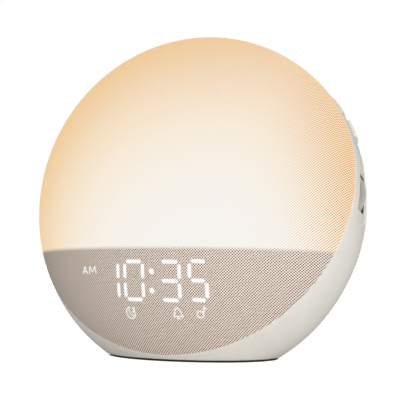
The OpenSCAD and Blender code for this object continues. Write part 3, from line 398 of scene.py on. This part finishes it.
# Woven polyester speaker mesh: two slanted sets of matt threads with dark holes between them. The lamp behind
# it shines through above the horizon, whitest low on the right and orange towards the rim. In metres.
weave = {
    "sets": ((47.0, 0.93, 0.50), (-44.0, 0.92, 0.50)),   # degrees, millimetres between threads, share
    "bandUnit": 0.314159,           # sine bands repeat this far apart at a scale of 1
    "threadEdge": (0.25, 0.60),     # levels of the bands where a hole ends and a thread is all there
    "thread": "#FFF0E2", "hole": "#3A261C",
    "fadeX": (-0.056, -0.004),      # the holes close up to the eye towards the left
    "lowContrast": 0.16, "evenLevel": 0.56,              # what is left of them, and the tone they close to
    # height of the horizon at the middle, its slope to the rear and half its soft edge
    "horizon": 0.0520, "horizonRise": math.tan(math.radians(3.5)), "horizonSoft": 0.0012,
    "glowMiddle": (0.0352, 0.0066),                      # right of the middle, height above the table
    "glowReach": (0.0793, 0.0382, 0.1000),               # to the left, to the right and up
    "glowPower": 2.44, "glowScale": 0.5,                 # the colours below run to twice the reach
    "glowStops": ((0.30, "#F4F0EB"), (0.375, "#F4EFE9"), (0.425, "#F5EFE5"), (0.475, "#F5ECDF"),
                  (0.525, "#F5E9D7"), (0.575, "#F4E4CD"), (0.625, "#F3DEC1"), (0.675, "#F1D7B6"),
                  (0.725, "#F0D1A8"), (0.79, "#EFC998")),
    "gapTint": (0.62, 0.35, 0.06, 1), "threadTint": (1.20, 1.38, 1.68, 1),
    # where the lit threads show: axis, from and to, how much at each, and the curve between
    "rimShare": ("X", 0.050, 0.090, 0.0, 0.95, "SMOOTHSTEP"),
    "topShare": ("Z", 0.100, 0.160, 0.05, 0.70, "SMOOTHSTEP"),
    "sideShare": ("X", -0.060, 0.030, 0.25, 1.0, "LINEAR"),
    "cutLeast": 0.90,               # a mark's light in the holes, against that on the threads
    "litDark": 0.97,                # how much of the cloth's own colour the light drowns
    "fuzz": 0.35, "fuzzDetail": 2.0, "fuzzHeight": 0.3,  # millimetres across; height against the threads'
    "bumpStrength": 0.3, "bump": 0.0002,
    "rough": 0.95, "specular": 0.15,
}


def clothMaterial():
    material, tree, shader = startMaterial("wovenPolyesterMesh")
    flatPlace = addNode(tree, "ShaderNodeUVMap", uv_map="clothMap").outputs[0]
    place = addNode(tree, "ShaderNodeTexCoord").outputs["Object"]
    parts = addNode(tree, "ShaderNodeSeparateXYZ", {0: place}).outputs
    threads = 0.0
    for slant, spacing, share in weave["sets"]:
        turned = addNode(tree, "ShaderNodeMapping", {
            "Vector": flatPlace, "Rotation": (0, 0, math.radians(slant))}).outputs[0]
        band = addNode(tree, "ShaderNodeTexWave", {
            "Vector": turned, "Scale": weave["bandUnit"] / (spacing / mmPerMetre)},
            wave_type="BANDS", bands_direction="Y", wave_profile="SIN").outputs["Fac"]
        threads = addNode(tree, "ShaderNodeMath", {0: band, 1: share, 2: threads},
                          operation="MULTIPLY_ADD").outputs[0]
    holeEnd, threadStart = weave["threadEdge"]
    shown = addNode(tree, "ShaderNodeMapRange", {
        "Value": threads, "From Min": holeEnd, "From Max": threadStart}).outputs[0]
    fuzz = addNode(tree, "ShaderNodeTexNoise", {
        "Vector": flatPlace, "Scale": mmPerMetre / weave["fuzz"], "Detail": weave["fuzzDetail"]}).outputs[0]

    leftFade = addNode(tree, "ShaderNodeMapRange", {
        "Value": parts["X"], "From Min": weave["fadeX"][0], "From Max": weave["fadeX"][1],
        "To Min": weave["lowContrast"]}, interpolation_type="SMOOTHSTEP").outputs[0]
    offLevel = addNode(tree, "ShaderNodeMath", {0: shown, 1: weave["evenLevel"]},
                       operation="SUBTRACT").outputs[0]
    evened = addNode(tree, "ShaderNodeMath", {0: offLevel, 1: leftFade, 2: weave["evenLevel"]},
                     operation="MULTIPLY_ADD").outputs[0]
    unlit = addNode(tree, "ShaderNodeMix", {0: evened, 6: linear(weave["hole"]), 7: linear(weave["thread"])},
                    data_type="RGBA").outputs[2]

    rise = addNode(tree, "ShaderNodeMath", {0: parts["Y"], 1: weave["horizonRise"], 2: parts["Z"]},
                   operation="MULTIPLY_ADD").outputs[0]
    above = addNode(tree, "ShaderNodeMapRange", {
        "Value": rise, "From Min": weave["horizon"] - weave["horizonSoft"],
        "From Max": weave["horizon"] + weave["horizonSoft"]}, interpolation_type="SMOOTHSTEP").outputs[0]

    # distance from the lamp's brightest place, on a rounded square that reaches further to the left
    leftReach, rightReach, upReach = weave["glowReach"]
    across = addNode(tree, "ShaderNodeMath", {0: parts["X"], 1: weave["glowMiddle"][0]},
                     operation="SUBTRACT").outputs[0]
    toRight = addNode(tree, "ShaderNodeMath", {0: across, 1: rightReach}, operation="DIVIDE").outputs[0]
    toLeft = addNode(tree, "ShaderNodeMath", {0: across, 1: -leftReach}, operation="DIVIDE").outputs[0]
    sideways = addNode(tree, "ShaderNodeMath", {0: toRight, 1: toLeft}, operation="MAXIMUM").outputs[0]
    higher = addNode(tree, "ShaderNodeMath", {0: parts["Z"], 1: weave["glowMiddle"][1]},
                     operation="SUBTRACT").outputs[0]
    upwards = addNode(tree, "ShaderNodeMath", {0: higher, 1: upReach}, operation="DIVIDE").outputs[0]
    power = weave["glowPower"]
    sidePower = addNode(tree, "ShaderNodeMath", {0: sideways, 1: power}, operation="POWER").outputs[0]
    upPower = addNode(tree, "ShaderNodeMath", {0: upwards, 1: power}, operation="POWER").outputs[0]
    both = addNode(tree, "ShaderNodeMath", {0: sidePower, 1: upPower}, operation="ADD").outputs[0]
    away = addNode(tree, "ShaderNodeMath", {0: both, 1: 1 / power}, operation="POWER").outputs[0]
    along = addNode(tree, "ShaderNodeMath", {0: away, 1: weave["glowScale"]}, operation="MULTIPLY").outputs[0]
    sunrise = addNode(tree, "ShaderNodeValToRGB", {"Fac": along})
    stops = sunrise.color_ramp.elements
    while len(stops) < len(weave["glowStops"]):
        stops.new(0.5)
    for stop, (position, colour) in zip(stops, weave["glowStops"]):
        stop.position = position
        stop.color = linear(colour)

    litShares = []
    for name in ("rimShare", "topShare", "sideShare"):
        axis, low, high, least, most, kind = weave[name]
        litShares.append(addNode(tree, "ShaderNodeMapRange", {
            "Value": parts[axis], "From Min": low, "From Max": high, "To Min": least, "To Max": most},
            interpolation_type=kind).outputs[0])
    rimShare, topShare, sideShare = litShares
    contrast = addNode(tree, "ShaderNodeMath", {0: topShare, 1: sideShare, 2: rimShare},
                       operation="MULTIPLY_ADD").outputs[0]
    threadLight = addNode(tree, "ShaderNodeMix", {0: shown, 6: weave["gapTint"], 7: weave["threadTint"]},
                          data_type="RGBA").outputs[2]
    tint = addNode(tree, "ShaderNodeMix", {0: contrast, 6: (1, 1, 1, 1), 7: threadLight},
                   data_type="RGBA").outputs[2]
    lamp = addNode(tree, "ShaderNodeVectorMath", {0: sunrise.outputs["Color"], 1: tint},
                   operation="MULTIPLY").outputs[0]

    # the marks show in full on the threads and a little less in the holes between them
    marksGlow = addNode(tree, "ShaderNodeAttribute", attribute_name="glow").outputs["Fac"]
    passing = addNode(tree, "ShaderNodeMapRange", {"Value": shown, "To Min": weave["cutLeast"]}).outputs[0]
    cutGlow = addNode(tree, "ShaderNodeMath", {0: marksGlow, 1: passing}, operation="MULTIPLY").outputs[0]
    marksShine = addNode(tree, "ShaderNodeMix", {0: cutGlow, 6: (0, 0, 0, 1), 7: (1, 1, 1, 1)},
                         data_type="RGBA").outputs[2]
    shine = addNode(tree, "ShaderNodeMix", {0: above, 6: marksShine, 7: lamp}, data_type="RGBA").outputs[2]
    lit = addNode(tree, "ShaderNodeMath", {0: above, 1: cutGlow}, operation="MAXIMUM").outputs[0]
    litShare = addNode(tree, "ShaderNodeMath", {0: lit, 1: weave["litDark"]}, operation="MULTIPLY").outputs[0]
    base = addNode(tree, "ShaderNodeMix", {0: litShare, 6: unlit, 7: (0, 0, 0, 1)},
                   data_type="RGBA").outputs[2]
    height = addNode(tree, "ShaderNodeMath", {0: fuzz, 1: weave["fuzzHeight"], 2: evened},
                     operation="MULTIPLY_ADD").outputs[0]
    relief = addNode(tree, "ShaderNodeBump", {
        "Height": height, "Strength": weave["bumpStrength"], "Distance": weave["bump"]}).outputs[0]
    tree.links.new(base, shader.inputs["Base Color"])
    tree.links.new(shine, shader.inputs["Emission Color"])
    tree.links.new(relief, shader.inputs["Normal"])
    shader.inputs["Emission Strength"].default_value = 1.0
    shader.inputs["Roughness"].default_value = weave["rough"]
    shader.inputs["Specular IOR Level"].default_value = weave["specular"]
    material.cycles.emission_sampling = "NONE"   # its many small weak faces would only add grain as lamps
    return material


clothCover.data.materials.append(clothMaterial())
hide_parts("fabric_cover")
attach(clothCover, "housing")

# Moulded ABS with a fine spark-eroded texture: satin, warm light grey. The real grit is 0.1 to 0.2 mm.
shellPlastic = solidFinish("mouldedAbsPutty", "#EBE8E1", "#E4E1D9", patch=14, grain=0.9, bump=0.004,
                           rough=0.45)
# the same plastic for the buttons, a shade darker and worn a little smoother
padPlastic = solidFinish("mouldedAbsPads", "#E5E3DC", "#DDDAD2", patch=9, grain=0.8, bump=0.004, rough=0.42)
# The shell is painted dark grey inside as painted shade, which darkens the walls of its slots, pad gaps and
# holes where shade falls. The painted shade is all there at one share of the way from the middle to the skin,
# and there is none at the other.
gapShadePaint = {"grey": "#33312E", "full": 0.985, "none": 0.990}
tree = shellPlastic.node_tree
place = addNode(tree, "ShaderNodeTexCoord").outputs["Object"]
inBall = addNode(tree, "ShaderNodeMapping", {
    "Vector": place, "Location": (0, 0, body["middle"]), "Rotation": (-body["lean"], 0, 0),
    "Scale": (body["radius"], body["halfDepth"], body["radius"])}, vector_type="TEXTURE").outputs[0]
fromMiddle = addNode(tree, "ShaderNodeVectorMath", {0: inBall}, operation="LENGTH").outputs["Value"]
paintedShade = addNode(tree, "ShaderNodeMapRange", {
    "Value": fromMiddle, "From Min": gapShadePaint["full"], "From Max": gapShadePaint["none"],
    "To Min": 1.0, "To Max": 0.0}).outputs[0]
# painted shade inside the shell and on the walls of its openings
overPaint(shellPlastic, paintedShade, gapShadePaint["grey"])


def roundedBlock(name, x, y, z, corner):  # its corners along X are round; x, y and z are low and high ends
    low, high = Vector((x[0], y[0], z[0])), Vector((x[1], y[1], z[1]))
    bpy.ops.mesh.primitive_cube_add(size=1, location=(low + high) / 2, scale=high - low)
    block = newPiece(name)
    bakePlace(block)

    def alongX(edge):
        start, end = (block.data.vertices[i].co.x for i in edge.vertices)
        return abs(start - end) > meshing["leastLength"]

    openEdit(block, "EDGE", alongX)
    bpy.ops.mesh.bevel(offset=corner, segments=meshing["cornerSteps"])
    closeEdit()
    return block


# its ends follow the round, top and bottom under it, and a taper draws in the lower one
def curvedBlock(name, turn, y, z, corner, top, bottom, taper=0.0):
    block = roundedBlock(name, meshing["blockEnds"], y, z, corner)
    openEdit(block)
    for axis, (low, high) in ((1, y), (2, z)):
        steps = max(meshing["fewestSteps"], round((high - low) / meshing["blockStep"]))
        for i in range(1, steps):
            spot, normal = [0, 0, 0], [0, 0, 0]
            spot[axis], normal[axis] = low + (high - low) * i / steps, 1
            bpy.ops.mesh.select_all(action="SELECT")
            bpy.ops.mesh.bisect(plane_co=spot, plane_no=normal)
    closeEdit()
    middleY, middleZ = (y[0] + y[1]) / 2, (z[0] + z[1]) / 2
    for vertex in block.data.vertices:
        under = top
        if vertex.co.x < sum(meshing["blockEnds"]) / 2:
            under = bottom
            vertex.co.y = middleY + (vertex.co.y - middleY) * (1 - taper / (y[1] - middleY))
            vertex.co.z = middleZ + (vertex.co.z - middleZ) * (1 - taper / (z[1] - middleZ))
        vertex.co.x = reachRound(turn, vertex.co.y, vertex.co.z, -under)
    return bakePlace(block, turn)


# Buttons and the snooze bar: a raised pad, a flange that holds it under the skin, and stems to the switches
pads = {
    "raise": 0.0012, "corner": 0.0018, "round": 0.0004, "gap": 0.0003,
    "y": (-0.0020, 0.0070),     # front and rear edge along the seam's axis
    "depth": 0.0040,            # underside of the flange, under the skin
    "flangeTop": 0.0028, "flangeOut": 0.0010,
    "sink": 0.0006,             # pad and stems reach this far into the flange
    "stemRadius": 0.0015, "stemLength": 0.0015, "stemSides": 32,
    "shoulderAngle": 31.5, "shoulderLength": 0.0108, "shoulderPitch": 0.0160,   # degrees, metres
    "snoozeLength": 0.0460, "snoozeStems": 0.0092,
}
shoulder, pitch = pads["shoulderAngle"], pads["shoulderPitch"] / 2
padMiddle = sum(pads["y"]) / 2
buttonPlan = {   # angle round the rim, place along it, length, places of the stems
    "snooze_bar": (90, 0, pads["snoozeLength"], (-pads["snoozeStems"], pads["snoozeStems"])),
    "right_upper_button": (shoulder, pitch, pads["shoulderLength"], (0,)),
    "right_lower_button": (shoulder, -pitch, pads["shoulderLength"], (0,)),
    "left_upper_button": (180 - shoulder, -pitch, pads["shoulderLength"], (0,)),
    "left_lower_button": (180 - shoulder, pitch, pads["shoulderLength"], (0,)),
}


def padSpan(along, length, grow):  # front to rear and along the rim, with the corner radius
    return ((pads["y"][0] - grow, pads["y"][1] + grow),
            (along - length / 2 - grow, along + length / 2 + grow), pads["corner"] + grow)


for name, (angle, along, length, stems) in buttonPlan.items():
    turn = rimTurn(math.radians(angle))
    cap = curvedBlock(name + "Cap", turn, *padSpan(along, length, 0), -pads["raise"],
                      pads["depth"] - pads["sink"])
    softEdges(cap, pads["round"], rounds=3)
    flange = curvedBlock(name + "Flange", turn, *padSpan(along, length, pads["flangeOut"]), pads["flangeTop"],
                         pads["depth"])
    blocks = [cap, flange]
    for stem in stems:
        start = reachRound(turn, padMiddle, 0, -pads["depth"]) - pads["stemLength"]
        middle = start + pads["stemLength"] / 2 + pads["sink"] / 2
        rod = addRod(name + "Stem", pads["stemSides"], pads["stemRadius"], pads["stemLength"] + pads["sink"],
                     (middle, padMiddle, along + stem), (0, quarterTurn, 0))
        blocks.append(bakePlace(rod, turn))
    key = joinPieces("pad_" + name, blocks)
    shadeSmooth(key)
    key.data.materials.clear()
    key.data.materials.append(padPlastic)
    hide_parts(name)
    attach(key, name)
print("buttons ready")

# Dials: ribbed wheels with a plain collar in front, which stand edge on in their slots
dial = {
    "x": 0.0712, "y": -0.0062, "rise": 0.0050,      # the middle of its front face, in the seam's frame
    "radius": 0.018, "thick": 0.0108,
    "round": 0.0002, "sharp": 60,                   # edges that bend more than this, in degrees, are rounded
    "ribs": 96, "ribDepth": 0.00025, "cornersPerRib": 4,
    "groove": (0.4, 0.85),                          # the stretch of each rib's pitch that lies deeper
    # the collar's dark grey is painted shade, the shadow of the gap in front of the ribs
    "collar": 0.0020, "collarRadius": 0.01775, "collarShade": "#45433F",
    "shadeBack": 0.0001, "shadeOut": 0.00003,         # the painted shade ends this far behind the collar and outside it
    "bore": 0.00302, "boreSides": 48, "boreThrough": 0.03,
    "wellInner": 0.0055, "wellOuter": 0.0150, "wellDepth": 0.0030,
}

# Rear shell: the round behind the seam, hollow, with its openings and a thumb recess around each dial
shell = {
    "slices": 192, "bands": 96, "insideSlices": 128, "insideBands": 64,
    "wall": 0.0025, "lip": 0.0009, "lipEnd": -0.0091, "round": 0.0003,
    "slotY": (-0.0065, 0.0049), "slotZ": (-0.0055, 0.0137), "slotCorner": 0.0020,   # in the seam's frame
    "recessY": (-0.0068, 0.0082), "recessZ": (-0.0115, 0.0197), "recessDepth": 0.0005,
    "recessTrim": 0.0002, "recessTaper": 0.0003,
    "recessTop": 0.004,                             # the recess cutter starts this far outside the skin
    "inlet": (0.0338, 0.020), "inletRadius": 0.006, "inletSides": 64,  # y and z of the power opening
    "grilleRings": 4, "grillePitch": 0.0048, "grilleHole": 0.0010, "grilleSides": 24, "grilleY": 0.055,
    "through": (0.045, 0.120),                      # where the cutters of the slots and pads start and end
    "inletThrough": 0.02, "grilleThrough": 0.03,
}
rimSides = ((1, 0), (-1, math.pi))                  # right and left, with the turn round the rim


def mirrored(span, side):  # heights turn over on the left side, where the frame is turned half round
    return span if side > 0 else (-span[1], -span[0])


shellPiece = asBody(unitBall("rearShell", shell["slices"], shell["bands"]))
sliceOff(shellPiece, seamLevel(-body["seamForward"] + body["seamGap"] / 2), -seamNormal)
sliceOff(shellPiece, (0, 0, body["footRise"]), (0, 0, -1))
cutWith(shellPiece, asBody(unitBall("hollow", shell["insideSlices"], shell["insideBands"]), -shell["wall"]))
lipCut = asBody(unitBall("lipCut", shell["insideSlices"], shell["insideBands"]), -shell["lip"])
sliceOff(lipCut, seamLevel(shell["lipEnd"]), seamNormal)
cutWith(shellPiece, lipCut)
recessCorner = (shell["recessY"][1] - shell["recessY"][0]) / 2 - shell["recessTrim"]
for side, angle in rimSides:
    recessCut = curvedBlock("recessCut", rimTurn(angle), shell["recessY"], mirrored(shell["recessZ"], side),
                            recessCorner, -shell["recessTop"], shell["recessDepth"], shell["recessTaper"])
    cutWith(shellPiece, recessCut)
    # room for the wheel under the wall, past the slot's upper end
    wheelRoom = addRod("wheelRoom", shell["slices"], dial["radius"] + pads["gap"],
                       shell["slotY"][1] - shell["slotY"][0],
                       (side * dial["x"], sum(shell["slotY"]) / 2, dial["rise"]), (quarterTurn, 0, 0))
    cutWith(shellPiece, bakePlace(wheelRoom, seamTurn))

cutters = []
for side, angle in rimSides:
    slotCut = roundedBlock("slotCut", shell["through"], shell["slotY"], mirrored(shell["slotZ"], side),
                           shell["slotCorner"])
    cutters.append(bakePlace(slotCut, rimTurn(angle)))
for angle, along, length, stems in buttonPlan.values():
    padCut = roundedBlock("padCut", shell["through"], *padSpan(along, length, pads["gap"]))
    cutters.append(bakePlace(padCut, rimTurn(math.radians(angle))))
cutters.append(bakePlace(addRod("inletCut", shell["inletSides"], shell["inletRadius"], shell["inletThrough"],
                                (0, *shell["inlet"]), (quarterTurn, 0, 0))))
holePlaces = [(0, 0)] + [
    (ring * shell["grillePitch"] * math.cos(math.radians(60 / ring * i)),
     ring * shell["grillePitch"] * math.sin(math.radians(60 / ring * i)))
    for ring in range(1, shell["grilleRings"] + 1) for i in range(6 * ring)]
for x, z in holePlaces:
    holeCut = addRod("holeCut", shell["grilleSides"], shell["grilleHole"], shell["grilleThrough"],
                     (x, shell["grilleY"], z), (quarterTurn, 0, 0))
    cutters.append(bakePlace(holeCut, bodyTurn))
cutWith(shellPiece, joinPieces("openings", cutters))
softEdges(shellPiece, shell["round"])
shellPiece.data.materials.clear()
shellPiece.data.materials.append(shellPlastic)
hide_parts("rear_shell")
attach(shellPiece, "housing")
print("rear shell", len(shellPiece.data.polygons), "faces")

# Moulded ABS like the shell, a shade darker; the collar is painted dark grey as shade, a thin painted shadow
# in front of the ribs
dialPlastic = solidFinish("mouldedAbsDials", "#E3E0D8", "#DBD8CF", patch=7, grain=0.8, bump=0.004, rough=0.44)
collarShadeShare = addNode(dialPlastic.node_tree, "ShaderNodeAttribute", attribute_name="collar").outputs["Fac"]
overPaint(dialPlastic, collarShadeShare, dial["collarShade"])
ribTurn = math.tau / dial["ribs"]
ribbed = dial["thick"] - dial["collar"]
wheel = addRod("dialWheel", dial["cornersPerRib"] * dial["ribs"], dial["radius"], ribbed)


def inGroove(vertex):  # the two corners of every rib pitch that lie deeper
    spot = (math.atan2(vertex.co.y, vertex.co.x) / ribTurn) % 1
    return dial["groove"][0] < spot < dial["groove"][1]


grooves = {vertex.index for vertex in wheel.data.vertices if inGroove(vertex)}
openEdit(wheel, "EDGE", lambda edge: all(v in grooves for v in edge.vertices))
deep = 1 - dial["ribDepth"] / dial["radius"]
bpy.ops.transform.resize(value=(deep, deep, 1), center_override=(0, 0, 0))
closeEdit()
for facing, steps in ((1, ((dial["wellOuter"], -dial["wellDepth"]), (dial["wellInner"], dial["wellDepth"]))),
                      (-1, ((dial["collarRadius"], -dial["collar"]),))):
    before = dial["radius"]
    for radius, along in steps:
        # of the faces that look this way, the one nearest the middle
        capFace = max(wheel.data.polygons,
                      key=lambda face: facing * face.normal.z * (1 - face.center.length)).index
        openEdit(wheel, "FACE", lambda face: face.index == capFace)
        bpy.ops.mesh.extrude_region_move()
        bpy.ops.transform.resize(value=(radius / before, radius / before, 1), center_override=(0, 0, 0))
        bpy.ops.mesh.extrude_region_move(TRANSFORM_OT_translate={"value": (0, 0, along)})
        closeEdit()
        before = radius
cutWith(wheel, addRod("boreCut", dial["boreSides"], dial["bore"], dial["boreThrough"]))
softEdges(wheel, dial["round"], sharp=dial["sharp"])
# painted shade on the collar and the step behind it, kept as a share on every corner
shadeEnd, shadeRim = -ribbed / 2 + dial["shadeBack"], dial["collarRadius"] + dial["shadeOut"]
grey = [float(vertex.co.z < shadeEnd and vertex.co.xy.length < shadeRim) for vertex in wheel.data.vertices]
wheel.data.attributes.new("collar", "FLOAT", "POINT").data.foreach_set("value", grey)
for node, side in (("right_dial", 1), ("left_dial", -1)):
    copy = wheel.copy()
    copy.data = wheel.data.copy()
    bpy.context.collection.objects.link(copy)
    copy.name = "wheel_" + node
    ribMiddle = dial["y"] + dial["collar"] + ribbed / 2
    atSlot = Matrix.Translation((side * dial["x"], ribMiddle, dial["rise"]))
    copy.matrix_world = atSlot @ Matrix.Rotation(-quarterTurn, 4, "X")
    bakePlace(copy, seamTurn)
    copy.data.materials.clear()
    copy.data.materials.append(dialPlastic)
    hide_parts(node)
    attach(copy, node)
bpy.data.objects.remove(wheel)
print("dials ready", len(copy.data.polygons), "faces each")

# Finishes of the parts that keep their own shape, by material slot
slotFinishes = {
    # opal polycarbonate: milky, soft gloss
    "diffuser": solidFinish("opalPolycarbonate", "#F4F1EA", "#ECE8E0", patch=20, grain=1.2, bump=0.004,
                            rough=0.35, clear=0.25),
    # moulded ABS in mid grey, seen as the thin line of the seam
    "frame_plastic": solidFinish("mouldedAbsSeamGrey", "#8E8C86", "#82807A", grain=0.5, rough=0.5),
    # white ABS, left glossy to throw light forward
    "white_plastic": solidFinish("glossWhiteAbs", "#F2F2EF", "#E9E9E5", patch=15, grain=0.8, bump=0.004,
                                 rough=0.3),
    # white solder mask over glass-fibre board: even, with a faint mottle
    "circuit_board_white": solidFinish("whiteSolderMask", "#EEF0EC", "#DDE1DA", patch=3, grain=0.5, bump=0.01,
                                       rough=0.35),
    # light package: cast silicone over a white cup, yellowish and glossy
    "light_package": solidFinish("castSiliconeLens", "#F6E7B8", "#EBD593", patch=2, grain=0.4, bump=0.006,
                                 rough=0.25),
    # moulded ABS in black, with a dull fine grain
    "black_plastic": solidFinish("mouldedAbsBlack", "#1E1E1F", "#161617", grain=0.4, rough=0.5),
    # clear acrylic guides, polished by the mould
    "clear_guide": solidFinish("clearAcrylic", "#F2F6F8", "#E6ECEF", patch=10, grain=1.5, bump=0.002,
                               rough=0.12, clear=0.9, ior=1.49),
    # green solder mask, darker where copper lies under it
    "circuit_board": solidFinish("greenSolderMask", "#1F5A3A", "#17472D", patch=2.5, grain=0.5, bump=0.012,
                                 rough=0.38),
    # zinc-plated steel, with fine turning marks
    "steel": solidFinish("zincPlatedSteel", "#C3C6C9", "#9EA2A6", patch=2, grain=0.25, bump=0.01, rough=0.32,
                         metallic=1.0, stretch=(1, 1, 6)),
    # laminated polyester film over flat wires: off-white, with fine streaks
    "flat_cable": solidFinish("whitePolyesterFlatCable", "#E7E2D6", "#CFC9BA", patch=4, grain=0.6, bump=0.02,
                              rough=0.45, stretch=(4, 1, 1)),
    # moulded ABS in charcoal, matt inside the body
    "chassis_plastic": solidFinish("mouldedAbsCharcoal", "#3B3C3E", "#303133", grain=0.5, rough=0.55),
    # moulded silicone rubber: nearly black, dull and a little rough
    "foot_rubber": solidFinish("mouldedSiliconeRubber", "#2A2A2A", "#1F1F1F", patch=5, grain=0.3, bump=0.03,
                               rough=0.8),
    # die-cast zinc weight, dull from the mould
    "cast_weight": solidFinish("dieCastZinc", "#8D9092", "#74777A", patch=5, grain=0.6, bump=0.05, rough=0.55,
                               metallic=1.0),
    # stamped, nickel-plated steel: warm grey, with fine press marks
    "encoder_metal": solidFinish("stampedNickelSteel", "#B5B4AC", "#96958D", patch=4, grain=0.3, bump=0.01,
                                 rough=0.35, metallic=1.0, stretch=(6, 1, 1)),
    # pressed steel under dark paint: satin, hardly any metal to see
    "basket_steel": solidFinish("paintedSteelBasket", "#2E2F31", "#242527", patch=6, grain=0.5, bump=0.015,
                                rough=0.45),
    # pressed paper pulp: matt, with short fibres
    "cone_paper": solidFinish("pressedPaperPulp", "#3A3937", "#262524", patch=3, grain=0.35, bump=0.06,
                              rough=0.92, stretch=(1, 3, 1)),
    # moulded butyl rubber: black, softer in its shine than plastic
    "surround_rubber": solidFinish("butylRubber", "#222223", "#181819", patch=4, grain=0.4, bump=0.02,
                                   rough=0.65),
    # extruded PVC jacket: smooth, dark brown
    "lead_jacket": solidFinish("pvcLeadJacket", "#26211F", "#1B1716", patch=3, grain=0.4, bump=0.01,
                               rough=0.5),
    "shell_plastic": shellPlastic,
    "button_plastic": padPlastic,
    "dial_plastic": dialPlastic,
    "woven_cover": clothCover.data.materials[0],
}
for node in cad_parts.values():
    for held in node.material_slots:
        held.material = slotFinishes[held.name.split(".")[0]]
print("finishes set")

# Stage: pale floor that runs out to white, white surroundings, and large soft lights above, on the right, in
# front and behind
studio = {
    "floorSize": 8.0, "floorBounce": 0.85,
    "floorLift": 0.70, "liftFar": (0.15, 0.60),     # the floor's glow at the middle, where it grows to 1
    "around": 0.37,                                 # how much light the white surroundings give
    "lights": {                                     # place, what it is aimed at, width, watts
        "topSoftbox": ((0, 0.1, 1.4), (0, 0, 0.08), 1.6, 2.0),
        "keySoftbox": ((1.1, -0.7, 0.4), (0, 0, 0.06), 0.9, 2.5),
        "frontFill": ((0.7, -1.2, 0.10), (0, 0, 0.05), 0.5, 13.0),
        "rearFill": ((-1.0, 1.2, 0.5), (0, 0, 0.08), 1.0, 9.0),
    },
    "withoutGloss": ("rearFill",),                  # it leaves no glare along the upper edge
}
bpy.ops.mesh.primitive_plane_add(size=studio["floorSize"])
floor = newPiece("floor")
paper = bpy.data.materials.new("paperSweep")
paper.use_nodes = True
tree = paper.node_tree
tree.nodes.clear()
seen = addNode(tree, "ShaderNodeLightPath").outputs["Is Camera Ray"]
matt = addNode(tree, "ShaderNodeBsdfDiffuse", {"Color": (studio["floorBounce"],) * 3 + (1,)}).outputs[0]
spot = addNode(tree, "ShaderNodeTexCoord").outputs["Object"]
farOff = addNode(tree, "ShaderNodeVectorMath", {0: spot}, operation="LENGTH").outputs["Value"]
liftLevel = addNode(tree, "ShaderNodeMapRange", {
    "Value": farOff, "From Min": studio["liftFar"][0], "From Max": studio["liftFar"][1],
    "To Min": studio["floorLift"]}).outputs[0]
lift = addNode(tree, "ShaderNodeEmission", {"Color": (1, 1, 1, 1), "Strength": liftLevel}).outputs[0]
brighter = addNode(tree, "ShaderNodeAddShader", {0: matt, 1: lift}).outputs[0]
mixed = addNode(tree, "ShaderNodeMixShader", {0: seen, 1: matt, 2: brighter}).outputs[0]
addNode(tree, "ShaderNodeOutputMaterial", {"Surface": mixed})
paper.cycles.emission_sampling = "NONE"      # the lift is for the eye, so no light sample goes to it
floor.data.materials.append(paper)

world = bpy.data.worlds.new("softStudio")
bpy.context.scene.world = world
world.use_nodes = True
tree = world.node_tree
tree.nodes.clear()
seen = addNode(tree, "ShaderNodeLightPath").outputs["Is Camera Ray"]
level = addNode(tree, "ShaderNodeMapRange", {"Value": seen, "To Min": studio["around"]}).outputs[0]
sky = addNode(tree, "ShaderNodeBackground", {"Color": (1, 1, 1, 1), "Strength": level}).outputs[0]
addNode(tree, "ShaderNodeOutputWorld", {"Surface": sky})

for name, (place, aim, width, power) in studio["lights"].items():
    bpy.ops.object.light_add(type="AREA", location=place)
    lamp = bpy.context.object
    lamp.name = name
    lamp.data.size = width
    lamp.data.energy = power
    lamp.rotation_mode = "QUATERNION"
    lamp.rotation_quaternion = (Vector(aim) - Vector(place)).to_track_quat("-Z", "Y")
    lamp.visible_glossy = name not in studio["withoutGloss"]
bpy.context.scene.view_settings.view_transform = "Standard"
print("stage ready")

print("pieces finished")
